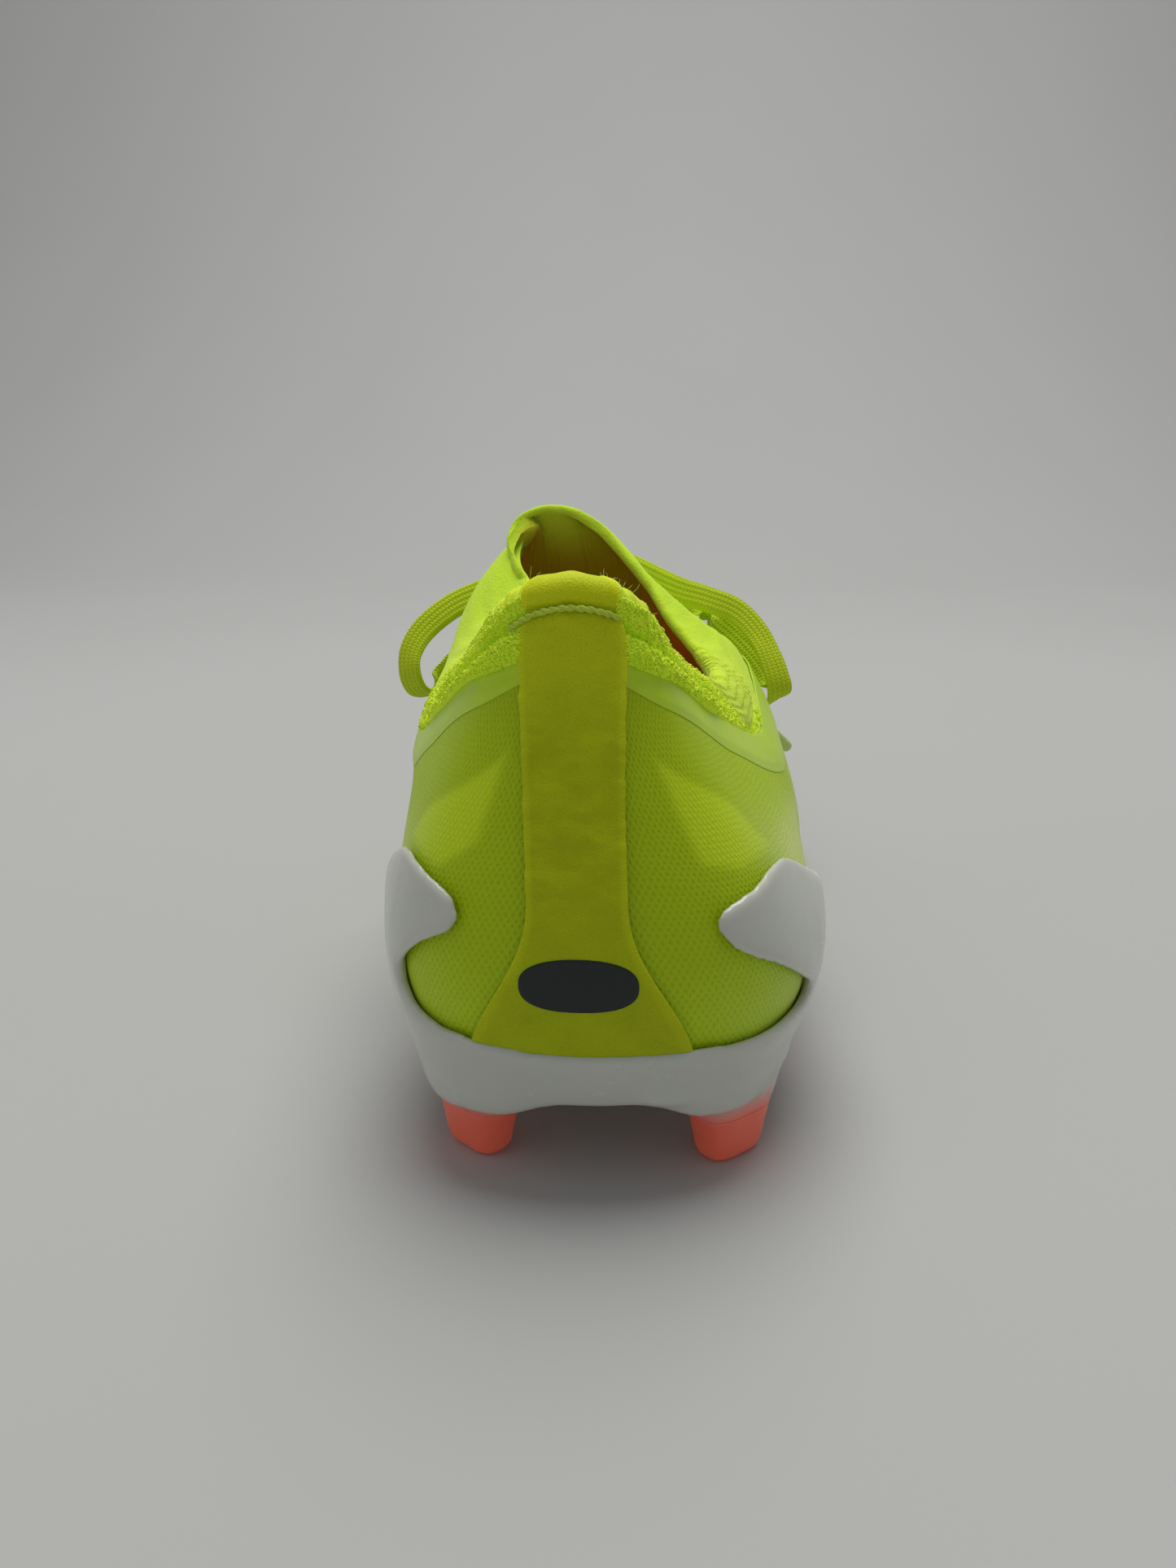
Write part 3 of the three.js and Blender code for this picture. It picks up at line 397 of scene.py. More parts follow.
# %% Writing shaders as sums
class Term:
    """A socket of numbers that can be added, multiplied and so on."""

    def __init__(self, paint, socket):
        self.paint, self.socket = paint, socket

    def _math(self, operation, *others):
        return self.paint.node("ShaderNodeMath", {"operation": operation}, dict(enumerate([self, *others])))

    def __add__(self, other): return self._math("ADD", other)
    def __radd__(self, other): return self._math("ADD", other)
    def __sub__(self, other): return self._math("SUBTRACT", other)
    def __rsub__(self, other): return self.paint.node("ShaderNodeMath", {"operation": "SUBTRACT"},
                                                      {0: other, 1: self})
    def __mul__(self, other): return self._math("MULTIPLY", other)
    def __rmul__(self, other): return self._math("MULTIPLY", other)
    def __pow__(self, other): return self._math("POWER", other)
    def clip(self): return self.paint.node("ShaderNodeClamp", {}, {0: self})


class Paint:
    """A new material, and what is needed to build its shader."""

    def __init__(self, name, **sockets):
        self.material = bpy.data.materials.new(name)
        self.material.use_nodes = True
        self.tree = self.material.node_tree
        self.shader = self.tree.nodes["Principled BSDF"]
        self.set(**sockets)

    def node(self, kind, settings=None, inputs=None, output=0):
        made = self.tree.nodes.new(kind)
        for key, value in (settings or {}).items():
            setattr(made, key, value)
        for key, value in (inputs or {}).items():
            self.feed(made.inputs[key], value)
        return Term(self, made.outputs[output])

    def feed(self, socket, value):
        if isinstance(value, Term):
            self.tree.links.new(value.socket, socket)
        elif isinstance(value, (tuple, list)):
            socket.default_value = (*value, 1.0) if socket.type == "RGBA" and len(value) == 3 else value
        else:
            socket.default_value = value

    def set(self, **sockets):
        for key, value in sockets.items():
            self.feed(self.shader.inputs[key.replace("_", " ").title().replace("Ior", "IOR")], value)

    def field(self, name, output="Fac"):
        return self.node("ShaderNodeAttribute", {"attribute_name": name}, output=output)

    def blend(self, factor, a, b, kind="MIX"):
        settings = {"data_type": "RGBA", "blend_type": kind, "clamp_factor": True}
        return self.node("ShaderNodeMix", settings, {0: factor, 6: a, 7: b}, output=2)

    def noise(self, vector, scale, detail=2.0, stretch=None):
        if stretch:
            vector = self.node("ShaderNodeVectorMath", {"operation": "MULTIPLY"}, {0: vector, 1: stretch})
        return self.node("ShaderNodeTexNoise", {}, {"Vector": vector, "Scale": scale, "Detail": detail})

    def cells(self, vector, scale, feature="F1", randomness=1.0):
        settings = {"feature": feature, "voronoi_dimensions": "2D"}
        return self.node("ShaderNodeTexVoronoi", settings,
                         {"Vector": vector, "Scale": scale, "Randomness": randomness}, output="Distance")

    def step(self, value, low, high):
        """From 0 at low to 1 at high, smoothly."""
        return self.node("ShaderNodeMapRange", {"interpolation_type": "SMOOTHSTEP"},
                         {"Value": value, "From Min": low, "From Max": high})

    def axes(self, vector):
        node = self.tree.nodes.new("ShaderNodeSeparateXYZ")
        self.tree.links.new(vector.socket, node.inputs[0])
        return [Term(self, socket) for socket in node.outputs]

    def bump(self, height, strength, distance):
        made = self.node("ShaderNodeBump", {}, {"Height": height, "Strength": strength,
                                                "Distance": distance})
        self.feed(self.shader.inputs["Normal"], made)

    def wave(self, value, period):
        """A sine from 0 to 1."""
        turn = value * (2 * math.pi / period)
        return turn._math("SINE") * 0.5 + 0.5


# %% [markdown]
# ### The mesh skin
# The upper is a knitted mesh under a thin clear film. It shows rows of small dimples about a millimetre
# apart. It is darkest beside the heel strip and grows lighter towards the sides and towards the sole, partly
# in its own tone and partly as painted shade and light. A clear patch on each side shows the bare mesh.

# %% Skin
SKIN_DEEP = (0.46, 0.62, 0.0)
SKIN_LIGHT = (0.60, 0.84, 0.003)
SKIN_PATCH = (0.78, 1.0, 0.02)
SKIN_PALE = (0.78, 0.90, 0.28)


def mesh_weave(paint):
    """Dimples in staggered rows, from the place on the cloth, with every row a little uneven."""
    cloth = paint.field("cloth", "Vector")
    x, y, _ = paint.axes(cloth)
    wobble = paint.noise(cloth, 0.35)
    a = paint.wave(x + y * 0.55 + wobble * 0.7, 1.05)
    b = paint.wave(x - y * 0.55 - wobble * 0.7, 1.05)
    return cloth, a * b


def skin_material():
    paint = Paint("mesh_skin", roughness=0.5)
    cloth, dimples = mesh_weave(paint)
    light, patch, pale = (paint.field(name) for name in ("light", "patch", "pale"))
    blotch = paint.noise(cloth, 0.09, 3.0)
    tone = (light + blotch * 0.35 - 0.17).clip()
    colour = paint.blend(tone, SKIN_DEEP, SKIN_LIGHT)
    colour = paint.blend(patch * (dimples * 0.7 + 0.45), colour, SKIN_PATCH)
    colour = paint.blend(pale * (blotch * 0.5 + 0.7), colour, SKIN_PALE)
    relief = paint.noise(cloth, 2.6, 2.0)
    colour = paint.blend((dimples * 0.5 + relief * 0.5) * 0.5, colour, (0.42, 0.48, 0.1), "MULTIPLY")
    paint.set(base_color=colour, roughness=0.46 + dimples * 0.14, specular_ior_level=0.2)
    paint.bump(dimples * -0.7 + relief * 0.5, 0.5, 0.0003)
    paint.set(coat_weight=0.04, coat_roughness=0.35)
    return paint.material


SKIN_MATERIAL = skin_material()

# %% [markdown]
# ### The other finishes
# The strip is a soft split leather look with a fine matt grain. The knit is terry: its loops are painted
# bright at their heads and dark between, as painted light and painted shade. Its yarn has a fluorescent dye,
# which gives back a little more light than falls on it; here that is a faint painted glow, an even emission
# that also lifts the terry where it lies in shade. The lace is a flat weave with ribs along it. The sole is
# one milky moulding whose studs turn coral towards the ground, so its colour follows the height, and the coral
# also has a faint painted glow.

# %% Strip, film, knit and lace finishes
def grain_material():
    paint = Paint("split_leather", specular_ior_level=0.2)
    cloth = paint.field("cloth", "Vector")
    painted_light = paint.field("painted_light")
    fine = paint.cells(cloth, 3.2)
    broad = paint.noise(cloth, 0.16, 4.0)
    scuff = paint.noise(cloth, 1.1, 3.0, (1, 0.5, 1))
    colour = paint.blend((broad * 1.4 - 0.25).clip(), (0.39, 0.47, 0.0), (0.52, 0.62, 0.001))
    # Painted light: this colour brightens the strip's top band, the band below the stitch and its raised
    # dents, as if lit from above.
    colour = paint.blend(painted_light, colour, (0.80, 0.88, 0.006))
    colour = paint.blend(fine * 0.22, colour, (0.22, 0.27, 0.0))
    paint.set(base_color=colour, roughness=0.56 + scuff * 0.16)
    paint.bump(fine * 0.5 + scuff * 0.8, 0.45, 0.00025)
    return paint.material


def film_material():
    paint = Paint("milky_film", specular_ior_level=0.3, coat_weight=0.06, coat_roughness=0.25)
    cloth = paint.field("cloth", "Vector")
    cloud = paint.noise(cloth, 0.2, 3.0)
    fine = paint.noise(cloth, 2.2, 2.0)
    colour = paint.blend(cloud, (0.50, 0.72, 0.012), (0.60, 0.86, 0.03))
    paint.set(base_color=colour, roughness=0.3 + cloud * 0.15)
    paint.bump(fine, 0.25, 0.0002)
    return paint.material


def knit_material():
    paint = Paint("terry_knit", roughness=0.95, specular_ior_level=0.15, sheen_weight=0.15,
                  sheen_roughness=0.45)
    cloth = paint.field("cloth", "Vector")
    head, inside, plain = paint.field("head"), paint.field("inside"), paint.field("plain")
    x, y, _ = paint.axes(cloth)
    place = paint.node("ShaderNodeTexCoord", output="Object")
    fluff = paint.noise(place, 1700.0, 4.0)
    rib = paint.wave(x + y * 0.35 + fluff * 0.3, 1.45) * paint.field("ribs")
    # Painted light and shade: the terry is bright on its loop heads and dark between them.
    bright = paint.blend((head * 0.75 + fluff * 0.4 - 0.1).clip(), (0.48, 0.74, 0.006), (0.88, 1.0, 0.06))
    smooth_knit = paint.blend((fluff * 0.7 + rib * 0.5).clip(), (0.58, 0.88, 0.02), (0.78, 1.0, 0.08))
    colour = paint.blend(plain, bright, smooth_knit)
    low = paint.step(inside, 0.15, 0.9)
    within = paint.blend(low, (0.46, 0.38, 0.001), (0.80, 0.34, 0.008))
    colour = paint.blend(paint.step(inside, 0.02, 0.16), colour, within)
    # A painted glow: an even emission on the outer terry that lights it whatever light falls on it.
    painted_glow = paint.blend(plain, (0.45, 0.82, 0.0), (0, 0, 0))
    painted_glow = paint.blend(paint.step(inside, 0.02, 0.16), painted_glow, (0, 0, 0))
    paint.set(base_color=colour, emission_color=painted_glow, emission_strength=0.06)
    paint.bump(fluff * 0.6 + rib * 0.9 + head * 0.2, 0.7, 0.0004)
    return paint.material


def lace_material():
    paint = Paint("woven_lace", roughness=0.85, specular_ior_level=0.2, sheen_weight=0.1,
                  sheen_roughness=0.4)
    cloth = paint.field("cloth", "Vector")
    x, y, _ = paint.axes(cloth)
    ribs = paint.wave(y, 1.15)
    picks = paint.wave(x + ribs * 0.3, 0.75)
    fluff = paint.noise(cloth, 1.5, 3.0)
    weave = ribs * 0.6 + picks * 0.4
    colour = paint.blend((weave * 0.6 + fluff * 0.4).clip(), (0.42, 0.56, 0.002), (0.66, 0.80, 0.03))
    paint.set(base_color=colour)
    paint.bump(weave + fluff * 0.3, 0.7, 0.0003)
    return paint.material


def plain_cloth(name, dark, bright, scale=1.4, rough=0.9):
    """A brushed or knitted inner cloth."""
    paint = Paint(name, specular_ior_level=0.15)
    cloth = paint.node("ShaderNodeTexCoord", output="Object")
    weave = paint.noise(cloth, scale * 1000, 3.0)
    broad = paint.noise(cloth, 60.0, 2.0)
    paint.set(base_color=paint.blend(weave * 0.7 + broad * 0.3, dark, bright),
              roughness=rough - 0.1 + weave * 0.15)
    paint.bump(weave, 0.6, 0.0003)
    return paint.material


GRAIN, FILM_LOOK, KNIT, LACE_LOOK = grain_material(), film_material(), knit_material(), lace_material()
LINING_LOOK = plain_cloth("orange_lining", (0.38, 0.14, 0.01), (0.60, 0.25, 0.02))
LINER_LOOK = plain_cloth("sockliner_cloth", (0.55, 0.12, 0.03), (0.80, 0.22, 0.06), 1.0)
BOARD_LOOK = plain_cloth("pressed_board", (0.62, 0.60, 0.52), (0.78, 0.76, 0.68), 0.6)
STIFF_LOOK = plain_cloth("formed_sheet", (0.70, 0.70, 0.66), (0.80, 0.80, 0.76), 0.5, 0.7)


# %% Sole, print, cord and aglet finishes
def sole_material():
    paint = Paint("milky_moulding", specular_ior_level=0.5, coat_weight=0.35, coat_roughness=0.12,
                  subsurface_weight=0.25, subsurface_scale=0.004)
    place = paint.node("ShaderNodeTexCoord", output="Object")
    _, _, z = paint.axes(place)
    cloud = paint.noise(place, 45.0, 3.0)
    smear = paint.noise(place, 220.0, 2.0)
    body = paint.blend(cloud, (0.52, 0.54, 0.48), (0.64, 0.66, 0.59))
    coral = 1 - paint.step(z + cloud * 0.003, 0.0085, 0.0150)
    deep = paint.blend(paint.step(z, 0.0, 0.008), (0.86, 0.155, 0.075), (0.80, 0.13, 0.075))
    colour = paint.blend(coral, body, deep)
    # A painted glow: the coral studs give out a faint even light of their own.
    painted_glow = paint.blend(coral, (0, 0, 0), (0.90, 0.14, 0.08))
    paint.set(base_color=colour, roughness=0.22 + smear * 0.08, emission_color=painted_glow, emission_strength=0.09)
    return paint.material


def gloss_material(name, colour, rough, speckle):
    paint = Paint(name, specular_ior_level=0.4)
    place = paint.node("ShaderNodeTexCoord", output="Object")
    fine = paint.noise(place, 900.0, 2.0)
    tinted = paint.blend(fine * speckle, colour, tuple(min(1, c * 1.7 + 0.01) for c in colour))
    paint.set(base_color=tinted, roughness=rough + fine * 0.1)
    paint.bump(fine, 0.1, 0.0001)
    return paint.material


SOLE_LOOK = sole_material()
PRINT_LOOK = gloss_material("dark_print", (0.006, 0.012, 0.010), 0.38, 0.3)
CORD_LOOK = gloss_material("stitch_thread", (0.40, 0.50, 0.04), 0.55, 0.8)
AGLET_LOOK = gloss_material("clear_tube", (0.45, 0.62, 0.12), 0.15, 0.2)
FIBRE_LOOK = gloss_material("stray_fibre", (0.50, 0.62, 0.16), 0.7, 0.5)
RING_LOOK = gloss_material("welded_ring", (0.34, 0.47, 0.03), 0.35, 0.3)


def dress(made, material, slot, body, *nodes):
    """Gives a piece its material, its body and the solids that it stands for. The slot is not used."""
    made.data.materials.clear()
    made.data.materials.append(material)
    if nodes:
        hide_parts(*nodes)
    if body:
        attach(made, body)
    print(f"{made.name}: {len(made.data.polygons)} faces")
    return made


# %% [markdown]
# ## The lace
# A flat lace is a woven tape 6 mm wide, so it is a band swept along a line, with soft rounded edges. The two
# loops and two tails of the bow are free cords: they run the routes of the imported solids, hang from the knot
# at rest against the boot, and their lengths are printed.

# %% Tapes
LACE_WIDTH, LACE_THICKNESS = 6.0, 1.3
LACE_SECTION = [(1.0, 0.0), (0.93, 0.55), (0.72, 0.85), (0.36, 1.0), (0.0, 0.92), (-0.36, 1.0),
                (-0.72, 0.85), (-0.93, 0.55), (-1.0, 0.0), (-0.93, -0.55), (-0.72, -0.85), (-0.36, -1.0),
                (0.0, -0.92), (0.36, -1.0), (0.72, -0.85), (0.93, -0.55)]


def catmull(points, count, share=True):
    """Evenly spaced points on a smooth line through points."""
    points = np.asarray(points, float)
    padded = np.concatenate([2 * points[:1] - points[1:2], points, 2 * points[-1:] - points[-2:-1]])
    k = spaced(0, 1, 24)[:-1, None]
    dense = []
    for a, b, c, d in zip(padded, padded[1:], padded[2:], padded[3:]):
        dense.append(0.5 * (2 * b + (c - a) * k + (2 * a - 5 * b + 4 * c - d) * k**2
                            + (3 * b - a - 3 * c + d) * k**3))
    dense = np.concatenate([*dense, points[-1:]])
    gone = np.concatenate([[0], np.cumsum(np.linalg.norm(np.diff(dense, axis=0), axis=1))])
    at = spaced(0, gone[-1], count)
    return np.stack([np.interp(at, gone, dense[:, i]) for i in range(3)], 1)


def line_length(line):
    return float(np.linalg.norm(np.diff(line, axis=0), axis=1).sum())


def tape_parts(line, facing, width=LACE_WIDTH, thickness=LACE_THICKNESS):
    """Points, faces and cloth places of a tape along line, with its flat side turned to facing."""
    tangent = unit(np.gradient(line, axis=0))
    up = unit(facing - tangent * np.einsum("ij,ij->i", facing, tangent)[:, None])
    side = np.cross(tangent, up)
    section = np.array(LACE_SECTION) * [width / 2, thickness / 2]
    ring = line[:, None] + side[:, None] * section[None, :, :1] + up[:, None] * section[None, :, 1:]
    tip = ((1, 0.55), (0.45, 0.35))
    starts = [line[0] - tangent[0] * a * thickness * 0.4 + (ring[0] - line[0]) * b for a, b in tip]
    ends = [line[-1] + tangent[-1] * a * thickness * 0.4 + (ring[-1] - line[-1]) * b for a, b in tip[::-1]]
    rings = np.concatenate([[starts[0]], [starts[1]], ring, [ends[0]], [ends[1]]])
    n, k = rings.shape[:2]
    gone = np.concatenate([[0, 0, 0], np.cumsum(np.linalg.norm(np.diff(line, axis=0), axis=1)), [0, 0]])
    i, j = np.meshgrid(np.arange(n - 1), np.arange(k), indexing="ij")
    a, b = i * k + j, i * k + (j + 1) % k
    faces = np.stack([a, b, b + k, a + k], -1).reshape(-1, 4)
    pad = [[e * k + (c + 1) % k, e * k + c, e * k + k - 1 - c, e * k + (k - 2 - c) % k] for e in (0, n - 1)
           for c in range(k // 2 - 1)]
    cloth = np.stack([gone[:, None] + 0 * rings[..., 0], 0 * gone[:, None] + section[None, :, 0],
                      0 * rings[..., 0]], -1)
    return rings.reshape(-1, 3), np.concatenate([faces, np.array(pad)]), cloth.reshape(-1, 3)


def tapes(name, runs):
    """One object of several tapes, each (line, facing)."""
    points, faces, cloth, start = [], [], [], 0
    for line, facing in runs:
        p, f, c = tape_parts(line, facing)
        points.append(p), faces.append(f + start), cloth.append(c)
        start += len(p)
    made = make_mesh(name, np.concatenate(points), np.concatenate(faces), {"cloth": np.concatenate(cloth)})
    face_outwards(made)
    return made


# %% The bow's loops and tails
LAYER_GAP, EYESTAY, OVER = 0.45, 0.7, LACE_THICKNESS + 0.8
LACE_OUT = 2 * LAYER_GAP + EYESTAY + LACE_THICKNESS / 2 + 0.7
KNOT_AT, KNOT_HEIGHT = 0.44, 6.0
knot = lifted(KNOT_AT, 1.0, LACE_OUT + OVER + LACE_THICKNESS + KNOT_HEIGHT / 2)

# The loops' lines, from the knot and back to it.
LOOPS = {
    "outer": [
        (7.7, -1.6, -0.5), (13.7, -4.1, -2.5), (19.7, -8.1, -5), (24.2, -10.6, -6.7), (30.2, -11.1, -8.4),
        (36.5, -10.6, -11), (41.2, -12, -15.7), (44.2, -14.8, -21.4), (45.8, -16.1, -26.5),
        (45.7, -13.6, -29), (44.2, -10.1, -26.5), (40.3, -7.6, -20.9), (35, -5.6, -15.8), (29.4, -5.4, -12),
        (22.8, -4.8, -8.6), (15.4, -2.6, -5.6), (8.2, 0, -3),
    ],
    "inner": [
        (-7.8, -1.6, 0), (-10.3, -7.1, -2.5), (-13.3, -12.1, -5), (-17.8, -14.4, -6.7),
        (-24.3, -15.4, -9.5), (-30.3, -17.1, -14.2), (-33.2, -18.9, -19), (-33.3, -20.1, -23.7),
        (-31.8, -19.1, -27.5), (-29.3, -15.6, -28), (-26.8, -11.6, -24.5), (-23.8, -8.1, -20),
        (-19.3, -5.1, -15), (-14.3, -3.1, -10), (-8.3, -1.1, -4.5),
    ],
}
# The tails' lines on the form: station, height up the rib, distance out.
TAIL = np.array([
    (0.46, 0.95, 8.8), (0.482, 0.88, 8.4), (0.505, 0.79, 8.8), (0.527, 0.71, 9), (0.546, 0.63, 7.6),
    (0.562, 0.54, 4.8), (0.576, 0.47, 2.8), (0.588, 0.41, 2.8),
])
SIDES = {"outer": 1, "inner": -1}

for name, side in SIDES.items():
    line = catmull(knot + np.array(LOOPS[name], float), 90)
    facing = unit(line - line.mean(0)) + np.array([0, -0.9, 0])
    loop = dress(tapes(f"lace_loop_free_{name}", [(line, facing)]), LACE_LOOK, "lace", "rearfoot",
                 f"lace_loop_{name}")
    line[0] * MM
    line * MM
    print(loop.name, round(line_length(line)), "mm")

# %% Aglets
AGLET_RADIUS, AGLET_LENGTH = 1.6, 18.0


def turned(name, start, direction, profile, sides=24):
    """A round body along direction from start, through (distance, radius) pairs."""
    direction = direction / np.linalg.norm(direction)
    a = unit(np.cross(direction, [0.3, 0.2, 1.0]))
    b = np.cross(direction, a)
    angle = spaced(0, 2 * math.pi, sides + 1)
    ring = np.cos(angle)[:, None] * a + np.sin(angle)[:, None] * b
    rows = np.array([start + direction * d + ring * r for d, r in profile])
    made = make_mesh(name, rows.reshape(-1, 3), grid_faces(len(profile), sides + 1))
    face_outwards(made)
    return made


for name, side in SIDES.items():
    stops = lifted(side * TAIL[:, 0], TAIL[:, 1], TAIL[:, 2])
    line = catmull(stops, 60)
    share = spaced(0, len(TAIL) - 1, 60)
    t, v = (np.interp(share, np.arange(len(TAIL)), TAIL[:, i]) for i in (0, 1))
    tail = dress(tapes(f"lace_tail_free_{name}", [(line, normal(side * t, v))]), LACE_LOOK, "lace",
                 "rearfoot",
                 f"lace_tail_{name}")
    direction = line[-1] - line[-3]
    r, end = AGLET_RADIUS, AGLET_LENGTH
    profile = [(0.1, 0), (0.1, 0.75 * r), (0.5, 0.95 * r), (1.2, r), (end - 1.5, r), (end - 0.5, 0.93 * r),
               (end, 0.7 * r), (end, 0)]
    aglet = turned(f"aglet_{name}", line[-1], direction, profile)
    dress(aglet, AGLET_LOOK, "aglet", "rearfoot", f"lace_aglet_{name}")
    line[0] * MM
    line * MM
    print(tail.name, round(line_length(line)), "mm")

# %% [markdown]
# ## The skin
# The two quarters wrap the heel and waist, and the vamp goes over the toes. The vamp's back edge lies on the
# quarters, in front of the lacing. What the material needs to know about a place is worked out here and kept
# on the mesh: how light it is, the clear patches, and the pale fade above the sole's wings.

# %% Where the skin ends, and its tones
THROAT_END = 0.635
even_edge = along([
    (0, 0.868), (0.1, 0.856), (0.14, 0.852), (0.18, 0.822), (0.28, 0.76), (0.34, 0.7), (0.4, 0.64),
    (0.47, 0.65), (0.56, 0.7), (THROAT_END, 0.76), (0.8, 0.8), (1, 0.8),
])
EDGE_DIP, DIP_AT, DIP_WIDTH = 0.085, 0.395, 0.034


def skin_edge(u):
    """The skin's upper edge. It dips under the sock's fold on the outer side, in front of the mouth."""
    return even_edge(u) - EDGE_DIP * np.exp(-(((np.asarray(u) - DIP_AT) / DIP_WIDTH) ** 2))


SKIN = 1.2


def triangle_mask(u, v, corners, soft):
    """1 inside a three-cornered patch on the form, fading over soft at its border."""
    inside = np.full(np.shape(u), 9.0)
    centre = np.mean(corners, axis=0)
    stretch = np.array([1.9, 1.0])
    for (a, b) in zip(corners, corners[1:] + corners[:1]):
        a, b, c = (np.array(p) * stretch for p in (a, b, centre))
        edge = b - a
        across = np.array([-edge[1], edge[0]]) / np.hypot(*edge)
        if (c - a) @ across < 0:
            across = -across
        inside = np.minimum(inside, (u * stretch[0] - a[0]) * across[0] + (v - a[1]) * across[1])
    return smooth(-soft, soft, inside)


PATCHES = [
    [(-0.066, 0.69), (-0.074, 0.52), (-0.10, 0.46), (-0.145, 0.515), (-0.128, 0.59)],
    [(0.078, 0.69), (0.086, 0.48), (0.112, 0.465), (0.152, 0.50), (0.132, 0.61)],
]


def skin_fields(us, vs):
    t = np.abs(wrap(us))
    cloth = cloth_place(us, vs)
    # Partly the skin's own tone and partly painted shade and light: darker beside the strip, lighter low down
    # and towards the sides.
    light = 0.10 + 0.40 * smooth(0.04, 0.2, t) + 0.42 * smooth(0.34, 0.1, vs) + 0.2 * smooth(0.2, 0.45, t)
    light += 0.12 * smooth(0.05, 0.10, t) * smooth(0.42, 0.25, vs)
    light = light - 0.10 * smooth(0.05, 0.03, t)
    patch = sum(triangle_mask(wrap(us), vs, corners, 0.012) for corners in PATCHES)
    near_wing = smooth(0.62, 0.44, vs) * smooth(0.115, 0.19, t) * smooth(0.5, 0.25, t)
    low_edge = 0.35 * smooth(0.11, 0.17, t) * smooth(0.66, 0.5, vs)
    notch = 0.22 * smooth(0.30, 0.10, vs) * smooth(0.05, 0.13, t) * smooth(0.2, 0.14, t)
    return {"cloth": cloth, "light": np.clip(light, 0, 1), "patch": np.clip(patch, 0, 1),
            "pale": np.clip(np.maximum(near_wing, low_edge) + notch, 0, 1)}


def bends(made):
    """Bakes the piece's placement into its mesh."""
    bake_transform(made)


def grid(us, vs):
    """A grid of (u, v): vs is a function that gives a row of heights for each u."""
    rows = np.array([vs(u) for u in us])
    return np.repeat(us[:, None], rows.shape[1], 1), rows


def panel(name, us, low, high, outer, inner, columns, fields=cloth_place, **rounding):
    share = spaced(0, 1, columns)
    u, v = grid(us, lambda u: mix(low(u), high(u), share))
    more = fields(u, v)
    more = more if isinstance(more, dict) else {"cloth": more}
    outer = outer(share) if callable(outer) else outer
    return shell(name, lifted(u, v, outer + 0 * v), lifted(u, v, inner + 0 * v), more, **rounding)


for name, side in SIDES.items():
    us = side * spaced(0.0005, THROAT_END - 0.0025, 150)
    quarter = panel(f"quarter_{name}", us, lambda u: 0.01, skin_edge, 0.0, -SKIN, 58, skin_fields)
    dress(quarter, SKIN_MATERIAL, "skin", "rearfoot", f"upper_quarter_{name}")


def saddle_grid(t0, t1, rows, columns, low):
    """A grid over the ridge: its columns run from low on the outer side to low on the inner side."""
    t = np.repeat(spaced(t0, t1, rows)[:, None], columns, 1)
    across = spaced(1, -1, columns)[None, :] + 0 * t
    v = mix(1, low(t), np.abs(across))
    return np.where(across < 0, -t, t), v


us, vs = saddle_grid(THROAT_END - 0.004, 1.0, 110, 97, lambda t: 0.01 + 0 * t)
lift_back = 1.1 * smooth(THROAT_END + 0.05, THROAT_END, np.abs(us)) * smooth(0.3, 0.7, vs)
# The vamp's tone grows lighter towards the top of the instep, partly its own tone and partly painted light.
fields = {"cloth": np.stack([form(us, vs)[..., 0] * 1.2, form(us, vs)[..., 1], vs], -1),
          "light": 0.55 + 0.25 * vs, "patch": 0 * vs, "pale": 0.45 * smooth(0.45, 0.05, vs)}
vamp = shell("vamp", lifted(us, vs, lift_back), lifted(us, vs, lift_back - SKIN), fields,
             round_a=(True, False))
dress(vamp, SKIN_MATERIAL, "skin", None, "upper_vamp", "toe_box")
bends(vamp)

# %% [markdown]
# ## The sock
# The collar and tongue are one knitted sock with padding sewn into its top. Its rows start at the rim and
# run outwards under the skin: straight down round the heel, and fanned out over the instep in front, so the
# rolled rim is one even roll all the way round. Round the heel the padding shows as two soft lobes with a
# tuck between them, in terry.

# %% The sock's rows
FAN_FROM, PEAK = 0.30, 0.40
MM_PER_STATION, MM_PER_RIB = 300.0, 88.0


def fan(share):
    """A row's two ends over the instep, as (station, height): on the rim, and under the skin."""
    rim_t = mix(FAN_FROM, PEAK, share)
    end_t = np.where(share < 0.75, mix(FAN_FROM, THROAT_END + 0.01, share / 0.75), THROAT_END + 0.01)
    under = skin_edge(end_t) - 0.05
    end_v = np.where(share < 0.75, under, mix(under, 1.0, np.clip((share - 0.75) / 0.25, 0, 1)))
    return np.stack([rim_t, 1 + 0 * rim_t], -1), np.stack([end_t, end_v], -1)


def sock_rows(heel_rows, waist_rows, fan_rows):
    """Half the sock's rows from the heel to the peak, as (rim, end) pairs."""
    t = np.concatenate([spaced(0, 0.2, heel_rows)[:-1], spaced(0.2, FAN_FROM, waist_rows)[:-1]])
    rim, end = fan(spaced(0, 1, fan_rows))
    back_rim = np.stack([t, 1 + 0 * t], -1)
    back_end = np.stack([t, skin_edge(t) - 0.05], -1)
    return np.concatenate([back_rim, rim]), np.concatenate([back_end, end])


